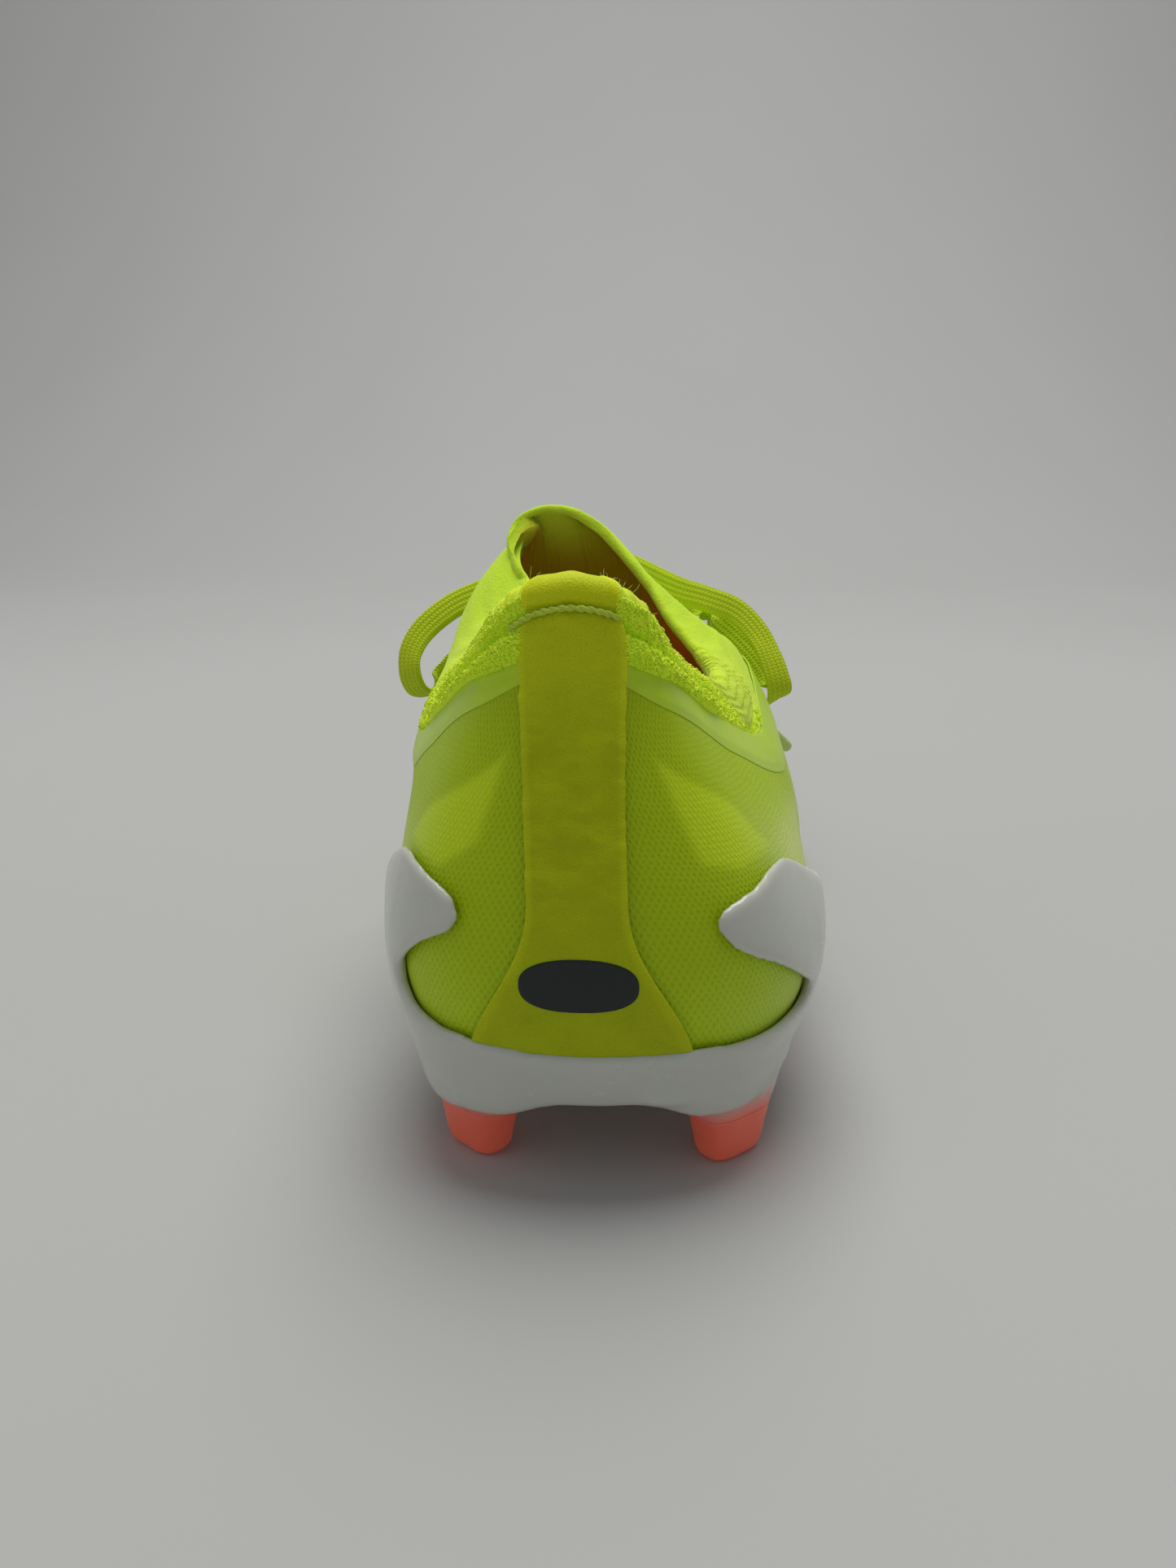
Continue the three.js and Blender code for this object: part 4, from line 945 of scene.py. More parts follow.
# %% The rolled rim's line
# The rolled rim leaves the form over the instep: it dips outwards on the outer side, stands up in a round
# loop at its peak, and folds inwards on the inner side. Each row is (station, x, y, z) of the roll's middle,
# in millimetres.
ROLL = {
    1: [(0.22, 15.1, -94.5, 75.0), (0.24, 17.2, -89.4, 72.2), (0.26, 19.6, -84.2, 69.6),
        (0.28, 21.3, -79.0, 69.0), (0.30, 20.6, -73.0, 70.1), (0.32, 17.9, -66.4, 73.2),
        (0.34, 12.6, -59.7, 78.2), (0.355, 8.6, -53.6, 84.1), (0.366, 4.0, -49.0, 89.6),
        (0.376, -1.0, -46.0, 94.7), (0.388, -6.2, -43.3, 97.7), (0.40, -10.4, -41.6, 98.9)],
    -1: [(0.22, -22.4, -94.5, 74.9), (0.26, -24.1, -84.2, 71.2), (0.29, -24.4, -76.0, 71.4),
         (0.32, -21.8, -67.0, 76.0), (0.338, -16.6, -61.6, 81.4), (0.35, -14.2, -57.4, 84.3),
         (0.36, -16.6, -53.0, 86.0), (0.366, -19.4, -50.0, 87.5), (0.372, -20.9, -47.5, 90.2),
         (0.378, -20.9, -45.5, 93.4), (0.385, -18.8, -43.9, 96.6), (0.392, -14.8, -42.5, 98.6),
         (0.40, -10.4, -41.6, 98.9)],
}
# How far the roll's middle lies below the form's top line.
rim_inset = along([(0, 3.3), (0.03, 2.9), (0.05, 2.0), (0.08, 2.3), (0.13, 3.0), (0.2, 3.5), (0.26, 2.6),
                   (0.3, 1.5), (0.4, 1.2)])

# %% The rows on the form
HEEL_ROWS, WAIST_ROWS, FAN_ROWS = 170, 42, 84
rim, end = sock_rows(HEEL_ROWS, WAIST_ROWS, FAN_ROWS)
rim_t = rim[:, 0].copy()
row_mm = np.linalg.norm((rim - end) * [MM_PER_STATION, MM_PER_RIB], axis=-1)
SOCK_COLUMNS = 40
share = spaced(0, 1, SOCK_COLUMNS)[None, :] * (1 - rim_inset(rim_t) / row_mm)[:, None]
# Over the instep a row runs down the form before it turns forwards, so no row climbs over the crest in front
# of it.
fan_share = np.clip((rim_t - FAN_FROM) / (PEAK - FAN_FROM), 0, 1)
turn_v_fan = 1 - 0.24 * np.sqrt(np.clip(1 - fan_share**2, 0, 1)) * smooth(0.26, 0.32, rim_t)
control = np.stack([mix(rim_t, rim_t + 0.05, fan_share), turn_v_fan], -1)
control = mix((rim + end) / 2, control, smooth(0.27, 0.31, rim_t)[:, None])
k = share[..., None]
half_rows = (1 - k) ** 2 * end[:, None] + 2 * k * (1 - k) * control[:, None] + k**2 * rim[:, None]


def rolled_rim(side):
    """How far the rim stands off the form at each row, in millimetres."""
    stations, *xyz = np.array(ROLL[side]).T
    target = np.stack([np.interp(rim_t, stations, values) for values in xyz], -1)
    for _ in range(4):
        target[1:-1] = 0.25 * target[:-2] + 0.5 * target[1:-1] + 0.25 * target[2:]
    away = target - form(side * rim_t, 1 + 0 * rim_t)
    return away * smooth(0.20, 0.235, rim_t)[:, None]


half = []
for side in (1, -1):
    on_form = form(side * half_rows[..., 0], half_rows[..., 1])
    half.append(on_form + rolled_rim(side)[:, None] * smooth(0.3, 1.0, share)[..., None])

# %% Both halves joined at the peak
sock_t = np.concatenate([half_rows[..., 0], half_rows[::-1, :, 0]])
sock_v = np.concatenate([half_rows[..., 1], half_rows[::-1, :, 1]])
rim_t = np.concatenate([rim_t, rim_t[::-1]])[:, None] + 0 * sock_t
base = np.concatenate([half[0], half[1][::-1]])
n = len(half_rows)
sock_side = np.repeat([1.0, -1.0], n)[:, None] + 0 * sock_t
sock_u = sock_t * sock_side
keep = np.ones(2 * n, bool)
keep[n] = False  # the peak's row is shared by both sides
both = (sock_u, sock_v, sock_t, sock_side, rim_t, base)
sock_u, sock_v, sock_t, sock_side, rim_t, base = (values[keep] for values in both)
# The rows are spread a little, so the fan has no crease where it meets the straight rows.
for _ in range(6):
    ring = np.concatenate([base[-2:-1], base, base[1:2]])
    front = smooth(0.24, 0.3, rim_t)[..., None]
    base = mix(base, 0.25 * ring[:-2] + 0.5 * ring[1:-1] + 0.25 * ring[2:], front)
print("sock grid", base.shape[:2])

# %% The instep below the rim's line
# In front of the rim the tongue stays below the rim's own line, so the loop is a clean arch.
outer_line, inner_line = np.array(ROLL[1]), np.array(ROLL[-1])
line = np.concatenate([inner_line[8:], outer_line[5:-1][::-1]])
order = np.argsort(line[:, 1])
roof = np.interp(base[..., 0], line[order, 1], line[order, 3]) + 0.15
crest = smooth(0.34, 0.365, sock_t) * smooth(0.5, 0.46, sock_t)
base[..., 2] = np.where(crest > 0, np.minimum(base[..., 2], roof + (1 - crest) * 20), base[..., 2])
for _ in range(4):
    ring = np.concatenate([base[-2:-1], base, base[1:2]])
    level = base.copy()
    level[:, 1:-1] = 0.25 * base[:, :-2] + 0.5 * base[:, 1:-1] + 0.25 * base[:, 2:]
    level = 0.5 * level + 0.25 * (ring[:-2] + ring[2:])
    base = mix(base, level, crest[..., None])
print("peak of the sock", np.round(base[..., 2].max(), 1), "mm")

# %% The sock's normals and distances
around = np.concatenate([base[-2:-1], base, base[1:2]])
along_row = np.gradient(around, axis=0)[1:-1]
up_row = np.gradient(base, axis=1)
sock_normal = unit(np.cross(along_row, up_row))
for _ in range(3):
    padded = np.concatenate([sock_normal[-2:-1], sock_normal, sock_normal[1:2]])
    sock_normal = unit(padded[:-2] + 2 * padded[1:-1] + padded[2:])
if np.sum(sock_normal[40, 20] * normal(sock_u[40, 20], sock_v[40, 20])) < 0:
    sock_normal = -sock_normal

edge = skin_edge(sock_u)
above = smooth(-0.016, 0.012, sock_v - edge)
height = np.clip((sock_v - edge) / (1 - edge), 0, 1)
steps = np.linalg.norm(np.diff(base[:, -1], axis=0), axis=-1)
round_mm = np.concatenate([[0], np.cumsum(steps)])
round_mm = np.repeat(round_mm[:, None], SOCK_COLUMNS, 1)
up_mm = np.cumsum(np.linalg.norm(np.diff(base, axis=1, prepend=base[:, :1]), axis=-1), axis=1)

# %% The padding's lobes
from_rim = np.linalg.norm(base - base[:, -1:], axis=-1)
terry = smooth(0.36, 0.26, rim_t) * smooth(0.0, 0.08, height)
outer_side = sock_side > 0
tuck_outer = mix(0.50, 0.34, smooth(0.05, 0.16, sock_t))
tuck_inner = mix(0.54, 0.18, smooth(0.06, 0.15, sock_t))
tuck_at = np.where(outer_side, tuck_outer, tuck_inner)
lobes_from = smooth(0.046, 0.062, sock_t)
lobes = lobes_from * smooth(0.235, 0.17, sock_t)
lower = np.sin(math.pi * np.clip(height / tuck_at, 0, 1)) ** 0.7
upper = np.sin(0.5 * math.pi * np.clip((height - tuck_at) / (0.42 * (1 - tuck_at)), 0, 1)) ** 0.7
tuck = np.exp(-(((height - tuck_at) / 0.055) ** 2))
rim_falls = mix(0.5, 2.4, smooth(0.05, 0.21, rim_t)) * smooth(7, 0, from_rim)
bulge = np.where(height < tuck_at, lower, 1.3 * upper - rim_falls) - 1.1 * tuck
swell = 0.5 * lobes_from * np.sin(math.pi * np.clip(height, 0, 1)) * smooth(0.4, 0.3, sock_t)
bulge = lobes * bulge + (1 - lobes) * swell

# %% The ribbed cuff and the pile
RIB_PITCH, SEAM_DOWN, HEAD_SIZE = 1.45, 9.5, 0.92
cuff = smooth(0.232, 0.246, rim_t) * smooth(0.325, 0.305, rim_t) * smooth(11, 7, from_rim) * outer_side
cuff_ribs = cuff * (0.75 + 0.32 * np.sin(2 * math.pi * (round_mm + 0.35 * up_mm) / RIB_PITCH))
seam_runs = outer_side * smooth(0.24, 0.26, rim_t) * smooth(0.33, 0.31, rim_t)
cuff_seam = 0.9 * np.exp(-(((from_rim - SEAM_DOWN) / 0.9) ** 2)) * seam_runs
heads = pile(round_mm / HEAD_SIZE, up_mm / HEAD_SIZE)
wander = lumps(round_mm / 7, up_mm / 5, 2) - 0.5
sunk = mix(-2.3, 0.1, smooth(0.46, 0.385, sock_t))
relief = bulge + cuff_ribs - cuff_seam + wander * 0.7 * lobes_from * smooth(0.4, 0.3, sock_t)
relief = relief + terry * (1 - 0.75 * cuff) * 0.55 * (heads - 0.5)
out = mix(-1.75 + 0 * edge, sunk + relief, above)

# %% The sock's thickness
# It is thickest at the padded rim round the heel, and thinnest in the loop, above all where the loop folds.
fold = ~outer_side * np.exp(-(((rim_t - 0.378) / 0.014) ** 2))
thick = mix(2.1, 4.6, smooth(0.35, 0.2, rim_t)) - 0.9 * fold
thin = mix(3.5, 1.5, smooth(0.25, 0.36, rim_t))
depth = mix(thin, thick, smooth(14, 3, from_rim))
depth = np.where(sock_t > 0.42, np.maximum(depth, 0), depth)
inner_ribs = 0.10 * np.sin(2 * math.pi * round_mm / 2.4) * smooth(3, 9, from_rim)
inner_out = np.minimum(sunk * above - depth + inner_ribs, out - 1.3)
inner_pile = 0.35 * (pile(round_mm, from_rim, 1) - 0.5)
inner_out = inner_out + inner_pile * smooth(9, 4, from_rim) * terry
outer_points = base + sock_normal * out[..., None]
inner_points = base + sock_normal * inner_out[..., None]

# %% What the knit's finish reads
flat_cloth = np.stack([round_mm, up_mm, sock_v], -1)
plain = smooth(0.27, 0.35, rim_t)
inside = smooth(0.0, 34.0, from_rim) * mix(1.0, 0.3, smooth(0.33, 0.36, rim_t))
zero = 0 * sock_v
# The head field paints light on the pile's heads and shade between them.
sock_fields = {
    "cloth": (flat_cloth, flat_cloth), "head": (heads * smooth(0, 0.05, height), heads * 0.6),
    "plain": (np.maximum(plain, 0.9 * cuff), plain), "ribs": (cuff, zero),
    "inside": (zero, 0.05 + 0.95 * inside),
}


# %% The sock's mesh
def two_faced(fields, source):
    """Field values for a shell's outer points and then its inner points."""
    picked = {}
    for key, (out_values, in_values) in fields.items():
        pair = [values.reshape(-1, *values.shape[2:])[source] for values in (out_values, in_values)]
        picked[key] = np.concatenate(pair)
    return picked


points, faces, source = shell_parts(outer_points, inner_points, round_a=(False, False),
                                    round_b=(False, True), k=6)
sock = make_mesh("sock", points, faces, two_faced(sock_fields, source))
face_outwards(sock)
dress(sock, KNIT, "knit", "rearfoot", "collar_knit", "tongue", "collar_foam_outer", "collar_foam_inner")

# %% [markdown]
# ## Terry loops and stray fibres
# Terry is a pile of thread loops. The relief gives their mass, and some real loops on top give the outline
# its fuzz. A few long fibres stand on the rim beside the strip, where the pile was cut.

# %% Thread loops
fuzz = np.random.default_rng(5)


def threads(name, lines, radius, sides=4):
    """One object of many thin threads, each a row of points."""
    lines = np.asarray(lines)
    tangent = unit(np.gradient(lines, axis=1))
    a = unit(np.cross(tangent, [0.31, 0.57, 0.76]))
    b = np.cross(tangent, a)
    angle = spaced(0, 2 * math.pi, sides + 1)[:-1]
    taper = np.ones(lines.shape[1])
    taper[[0, -1]] = 0.35
    ring = (np.cos(angle)[None, None, :, None] * a[:, :, None] + np.sin(angle)[None, None, :, None]
            * b[:, :, None])
    points = lines[:, :, None] + ring * (radius * taper)[None, :, None, None]
    count, k = lines.shape[:2]
    i, j = np.meshgrid(np.arange(k - 1), np.arange(sides), indexing="ij")
    first = np.stack([i * sides + j, i * sides + (j + 1) % sides, (i + 1) * sides + (j + 1) % sides,
                      (i + 1) * sides + j], -1).reshape(-1, 4)
    caps = np.array([[0, 3, 2, 1], [(k - 1) * sides + c for c in range(4)]])
    block = np.concatenate([first, caps])
    faces = (block[None] + (np.arange(count) * k * sides)[:, None, None]).reshape(-1, 4)
    made = make_mesh(name, points.reshape(-1, 3), faces)
    face_outwards(made)
    return made


ok_rows, ok_columns = np.nonzero((terry > 0.6) & (lobes_from > 0.6) & (height > 0.05) & (cuff < 0.3))
LOOP_COUNT, LOOP_YARN = 5200, 0.11
chosen = fuzz.choice(len(ok_rows), LOOP_COUNT)
at = outer_points[ok_rows[chosen], ok_columns[chosen]]
up = sock_normal[ok_rows[chosen], ok_columns[chosen]]
turn = unit(np.cross(up, fuzz.normal(size=at.shape)))
reach, tall = fuzz.uniform(0.28, 0.5, LOOP_COUNT), fuzz.uniform(0.3, 0.62, LOOP_COUNT)
lean = unit(fuzz.normal(size=at.shape)) * 0.18
arc = spaced(0, math.pi, 5)
lines = (at[:, None] - turn[:, None] * (np.cos(arc)[None, :, None] * reach[:, None, None])
         + (up + lean)[:, None] * (np.sin(arc)[None, :, None] * tall[:, None, None]) - up[:, None] * 0.12)
loops = threads("terry_loops", lines, LOOP_YARN)
loop_points = np.array([v.co for v in loops.data.vertices]) / MM
# The loops' head field paints them bright, as painted light.
head_field = loops.data.attributes.new("head", "FLOAT", "POINT")
head_field.data.foreach_set("value", [0.9] * len(loop_points))
cloth_field = loops.data.attributes.new("cloth", "FLOAT_VECTOR", "POINT")
cloth_field.data.foreach_set("vector", loop_points.astype(np.float32).ravel())
dress(loops, KNIT, "knit", "rearfoot")

# %% Stray fibres
FIBRES, FIBRE_RADIUS = 64, 0.035
fibre_lines = []
rim_row = outer_points[:, -1] * 0.5 + inner_points[:, -1] * 0.5 + unit(up_row[:, -1]) * 1.9
for _ in range(FIBRES):
    near_strip = fuzz.uniform(0.052, 0.13) * (1 if fuzz.random() < 0.72 else -1)
    row = int(np.argmin(np.abs(sock_u[:, -1] - near_strip)))
    start = rim_row[row] + fuzz.normal(0, 0.5, 3) * [1, 1, 0.2]
    aim = unit(np.array([fuzz.normal(0, 0.7), fuzz.normal(0.1, 0.5), fuzz.uniform(0.3, 1.0)]))
    curl = unit(np.cross(aim, fuzz.normal(size=3)))
    span = fuzz.uniform(0.9, 2.6)
    k = spaced(0, 1, 7)[:, None]
    fibre_lines.append(start + aim * k * span + curl * np.sin(k * fuzz.uniform(2, 5)) * span * 0.22)
fibres = threads("stray_fibres", fibre_lines, FIBRE_RADIUS)
dress(fibres, FIBRE_LOOK, "knit", "rearfoot")

# %% [markdown]
# ## The heel strip
# A strip of soft split leather look runs up the heel, over the rim and a little way down inside. It flares
# at the foot, where it goes under the sole's edge. A twisted cord is stitched across it where it turns over
# the padding.

# %% Places by distance across the heel
FINE_U = spaced(-0.16, 0.16, 321)


def across_heel(x, v):
    """The u that lies x millimetres across from the heel's middle at height v, for grids of both."""
    x, v = np.broadcast_arrays(x, v)
    found = np.empty(x.shape)
    for i in range(len(v)):
        line = form(FINE_U, v[i].mean())[:, 0]
        found[i] = np.interp(x[i] + np.interp(0, FINE_U, line), line, FINE_U)
    return found


def strip_half(v):
    return 6.6 + 9.2 * (1 - smooth(0.05, 0.40, v)) ** 1.25 - 0.75 * smooth(0.86, 0.97, v)


# %% Strip
STRIP_IN, STRIP_OUT = 0.45, 1.25
HEEL_RIB = float(np.linalg.norm(np.diff(form(0.0, spaced(0, 1, 60)), axis=0), axis=1).sum())
TURN = 2.35  # the rim's radius under the strip
b = spaced(-1, 1, 34)
turn_v = 1 - mix(3.3, 2.55, np.abs(b) ** 2) / HEEL_RIB
up_k = spaced(0, 1, 165)[:, None]
up_v = mix(0.045, turn_v, up_k)
arc = spaced(0, math.pi, 16)[1:]
down_v = turn_v - spaced(0, 13 / HEEL_RIB, 20)[1:, None]


def strip_surface(out):
    """The strip's grid at a distance out of the form: up the heel, over the rim, and down inside."""
    v = up_v
    u = across_heel(b * strip_half(v), v)
    climb = lifted(u, v, out + 0 * v)
    top = u[-1]
    foot, n_ = form(top, turn_v), normal(top, turn_v)
    rise = unit(form(top, turn_v) - form(top, turn_v - 0.02))
    r = TURN + out
    over = foot + n_ * (r * np.cos(arc)[:, None, None] - TURN) + rise * (r * np.sin(arc)[:, None, None])
    v_in = down_v
    under = lifted(top[None, :] + 0 * v_in, v_in, -2 * TURN - out + 0 * v_in)
    return np.concatenate([climb, over, under])


strip_outer, strip_inner = strip_surface(STRIP_OUT), strip_surface(STRIP_IN)
steps = np.linalg.norm(np.diff(strip_outer[:, 17], axis=0, prepend=strip_outer[:1, 17]), axis=-1)
strip_up = np.repeat(np.cumsum(steps)[:, None], len(b), 1)
strip_x = b * strip_half(np.concatenate([up_v, turn_v + 0 * arc[:, None], down_v]))
strip_normal = unit(strip_outer - strip_inner)
STITCH_UP = float(np.interp(0.947, up_v[:, 17], strip_up[: len(up_v), 17]))
soft = smooth(14, 34, strip_up) * (1 - 0.5 * smooth(STITCH_UP, STITCH_UP + 5, strip_up))
broad_dents = (lumps(strip_x / 3.4 + 3, strip_up / 2.1, 4) - 0.5) * 0.34
small_dents = (lumps(strip_x / 1.6, strip_up / 1.0, 5) - 0.5) * 0.22
dents = broad_dents + small_dents
bow = STITCH_UP - 0.012 * (strip_x - 0.5) ** 2
groove = -0.55 * np.exp(-(((strip_up - bow) / 0.9) ** 2))
puff = 0.35 * smooth(3, 0, np.abs(strip_up - bow - 3.5)) + 0.25 * smooth(4, 0, np.abs(strip_up - bow + 4))
wear = soft * dents + groove + puff
strip_outer = strip_outer + strip_normal * wear[..., None]
# Painted light on the strip: the top band over the rim and the band below the stitch are painted lighter, as
# lit from above, the raised dents get painted highlights, and both edges are lighter too.
strip_painted_light = 0.70 * smooth(-0.5, 1.2, strip_up - bow) + 0.16 * soft * smooth(0.0, 0.35, dents)
below_stitch = smooth(STITCH_UP - 22, STITCH_UP - 4, strip_up) * smooth(0.5, -0.5, strip_up - bow)
strip_painted_light = strip_painted_light + 0.42 * below_stitch
strip_painted_light = np.clip(strip_painted_light + 0.25 * smooth(0.86, 0.98, np.abs(b))[None, :], 0, 1)
strip = shell("heel_band", strip_outer, strip_inner,
              {"cloth": np.stack([strip_x, strip_up, 0 * strip_up], -1), "painted_light": strip_painted_light}, k=3)
dress(strip, GRAIN, "back_strip", "rearfoot", "heel_strip")

# %% Print
# The real boot's mark is left out: a plain dark oval print stands in its place.
PRINT_V, PRINT_HALF_WIDTH, PRINT_HALF_HEIGHT = 0.225, 8.2, 3.9
angle, reach = spaced(0, 2 * math.pi, 65)[:, None], spaced(0, 1, 12)[None, :]
print_x = PRINT_HALF_WIDTH * np.sign(np.cos(angle)) * np.abs(np.cos(angle)) ** 0.8 * reach
rise = PRINT_HALF_HEIGHT * np.sign(np.sin(angle)) * np.abs(np.sin(angle)) ** 0.8 * reach
print_v = PRINT_V + rise / HEEL_RIB
print_u = across_heel(print_x.reshape(-1, 1), print_v.reshape(-1, 1)).reshape(print_x.shape)
print_piece = shell("heel_print", lifted(print_u, print_v, STRIP_OUT + 0.17 + 0 * print_v),
                    lifted(print_u, print_v, STRIP_OUT - 0.1 + 0 * print_v), round_a=(False, False),
                    round_b=(False, True))
dress(print_piece, PRINT_LOOK, "badge", "rearfoot", "heel_badge")


# %% Stitched cord
def twisted(name, line, radius, pitch, sides=8):
    """Two strands twisted round each other along a line."""
    gone = np.concatenate([[0], np.cumsum(np.linalg.norm(np.diff(line, axis=0), axis=1))])
    tangent = unit(np.gradient(line, axis=0))
    a = unit(np.cross(tangent, [0, 0, 1.0]))
    b = np.cross(tangent, a)
    parts, faces, start = [], [], 0
    swell = 0.82 + 0.3 * np.abs(np.sin(math.pi * gone / 2.9)) ** 0.6
    for phase in (0, math.pi):
        angle = 2 * math.pi * gone / pitch + phase
        away = np.cos(angle)[:, None] * a + np.sin(angle)[:, None] * b
        middle = line + away * (radius * 0.62 * swell)[:, None]
        turn = spaced(0, 2 * math.pi, sides + 1)
        ring = np.cos(turn)[None, :, None] * a[:, None] + np.sin(turn)[None, :, None] * b[:, None]
        size = radius * swell
        size[[0, -1]] = 0.0
        points = middle[:, None] + ring * size[:, None, None]
        parts.append(points.reshape(-1, 3))
        faces.append(grid_faces(len(line), sides + 1) + start)
        start += points.shape[0] * points.shape[1]
    made = make_mesh(name, np.concatenate(parts), np.concatenate(faces))
    face_outwards(made)
    return made


CORD_V, CORD_RADIUS, CORD_PITCH = 0.9475, 0.28, 2.6
cord_x = spaced(-8.3, 5.8, 130)
cord_v = CORD_V - 0.012 * (cord_x - 0.5) ** 2 / HEEL_RIB - 0.006 * smooth(-4, -9, cord_x)
cord_u = across_heel(cord_x[:, None], cord_v[:, None])[:, 0]
cord_line = lifted(cord_u, cord_v, 1.3 - 0.5 * smooth(6.2, 8.6, np.abs(cord_x)))
dress(twisted("stitched_cord", cord_line, CORD_RADIUS, CORD_PITCH), CORD_LOOK, "knit", "rearfoot")

# %% [markdown]
# ## Films
# A milky film is welded over the skin's upper edge below the collar, and another along the lacing carries
# the eyelets.

# %% Collar film and eyestays
film_depth = along([(0, 0.03), (0.056, 0.034), (0.1, 0.052), (0.18, 0.092), (0.28, 0.14), (0.4, 0.15),
                    (1, 0.15)])
EYELETS = spaced(0.442, 0.604, 5)
EYELET_DROP = 0.075

for name, side in SIDES.items():
    us = side * spaced(0.0535, 0.375, 120)
    film = panel(f"collar_weld_{name}", us, lambda u: skin_edge(u) - film_depth(u),
                 lambda u: skin_edge(u) + 0.006,
                 lambda share: mix(0.10, 0.36, smooth(0.0, 0.3, share)), 0.03, 14)
    dress(film, FILM_LOOK, "film", "rearfoot", f"collar_film_{name}")
    us = side * spaced(0.415, THROAT_END - 0.006, 84)
    stay = panel(f"lace_stay_{name}", us, lambda u: skin_edge(u) - 2 * EYELET_DROP,
                 lambda u: skin_edge(u) + 0.004,
                 1.0, 0.2, 16)
    dress(stay, FILM_LOOK, "film", "rearfoot", f"eyestay_{name}")

# %% Eyelet rings
RING_RADIUS, RING_WIDTH, RING_HEIGHT = 2.35, 0.5, 0.3
ring_points, ring_faces, start = [], [], 0
big, small = np.meshgrid(spaced(0, 2 * math.pi, 25), spaced(0, 2 * math.pi, 9), indexing="ij")
for side in SIDES.values():
    for t in EYELETS:
        u, v = side * t, skin_edge(t) - EYELET_DROP
        middle, ring_up = lifted(u, v, 1.05), normal(u, v)
        ring_x = unit(np.cross(ring_up, [0, 0, 1.0]))
        ring_y = np.cross(ring_up, ring_x)
        radius = RING_RADIUS + RING_WIDTH * np.cos(small)
        flat = (np.cos(big) * radius)[..., None] * ring_x + (np.sin(big) * radius)[..., None] * ring_y
        points = middle + flat + (RING_HEIGHT * np.sin(small))[..., None] * ring_up
        ring_points.append(points.reshape(-1, 3))
        ring_faces.append(grid_faces(*big.shape) + start)
        start += big.size
rings = make_mesh("eyelet_rings", np.concatenate(ring_points), np.concatenate(ring_faces))
face_outwards(rings)
dress(rings, RING_LOOK, "film", "rearfoot")


# %% Crossed lacing and knot
def strand(from_, to, over, count=36):
    """A run of lace over the tongue between two eyelets, each (side, station)."""
    k = spaced(0, 1, count)
    t = mix(from_[1], to[1], k)
    across = mix(from_[0], to[0], k) * (1 - skin_edge(t) + EYELET_DROP)
    u, v = np.where(across < 0, -t, t), 1 - np.abs(across)
    dip = 2.2 * smooth(0.07, 0.0, np.minimum(k, 1 - k))
    inwards = np.minimum(k, 1 - k)
    hump = over * smooth(0.0, 0.22, inwards) - 0.9 * (1 - over / OVER) * smooth(0.1, 0.3, inwards)
    return lifted(u, v, LACE_OUT + hump - dip), normal(u, v)


NEAR = 0.011
runs = [strand((1, EYELETS[-1] + NEAR), (-1, EYELETS[-1] + NEAR), 0)]
for back, front in zip(EYELETS, EYELETS[1:]):
    runs.append(strand((1, front - NEAR), (-1, back + NEAR), 0))
    runs.append(strand((-1, front - NEAR), (1, back + NEAR), OVER))
strands = [f"lace_cross_{row}_{kind}" for row in range(1, 5) for kind in ("under", "over")]
dress(tapes("crossed_lacing", runs), LACE_LOOK, "lace", "rearfoot", "lace_bar", *strands)

knot_up = normal(KNOT_AT, 1.0)
knot_side = np.array([1.0, 0, 0])
knot_front = np.cross(knot_up, knot_side)
angle = spaced(0, 2 * math.pi, 40)[:, None]
wrap_line = knot + knot_front * np.cos(angle) * 3.4 + knot_up * np.sin(angle) * 2.7
arms = []
# Each arm goes into the knot from one side and comes out at the other.
for first, last in (((-8.2, -1.4, 0.2), (8.0, -1.4, 0.0)), ((-8.4, 0.2, -3.6), (8.4, 0.4, -3.0)),
                    ((-6.0, 3.2, -4.6), (6.2, 3.0, -4.4))):
    waist = [0.5, 0.6, 0.4]
    points = knot + np.array([first, np.array(first) * waist, (0, 0, 0.3), np.array(last) * waist, last])
    line = catmull(points, 30)
    arms.append((line, knot_up + 0 * line))
dress(tapes("bow_knot", [(wrap_line, unit(wrap_line - knot)), *arms]), LACE_LOOK, "lace", "rearfoot",
      "lace_knot")

# %% [markdown]
# ## Inside the boot
# The lining, the sockliner and the board below it show through the mouth, in orange that warms the light
# inside. The board and sockliner are single pieces.

# %% Lining, sockliner and board
LINING_TO, LINING_LOW, LINING_HIGH = 0.29, 0.13, 0.84
lining = panel("heel_inner_lining", spaced(-LINING_TO, LINING_TO, 140), lambda u: LINING_LOW,
               lambda u: np.minimum(skin_edge(u) - 0.01, LINING_HIGH), -3.85, -4.6, 36)
dress(lining, LINING_LOOK, "lining", "rearfoot", "heel_lining")


def bed(name, inset, low, high, crown=0.0):
    """A sheet inside the sole's edge, between two heights above that edge."""
    t = np.concatenate([spaced(0, 0.06, 24)[:-1], spaced(0.06, 0.93, 120)[:-1], spaced(0.93, 1, 26)])
    t = t[:, None]
    k = spaced(0, 1, 40)[None, :]
    sides = [form(s * t, 0 * t) - np.concatenate([outward(s * t), 0 * t[..., None]], -1)
             * inset(t)[..., None]
             for s in (1, -1)]
    middle = mix(sides[0], sides[1], k[..., None])
    dish = crown * (4 * k * (1 - k) - 1)[..., None] * [0, 0, -1.0]
    return shell(name, middle + dish + [0, 0, high], middle + [0, 0, low], round_a=(False, False))


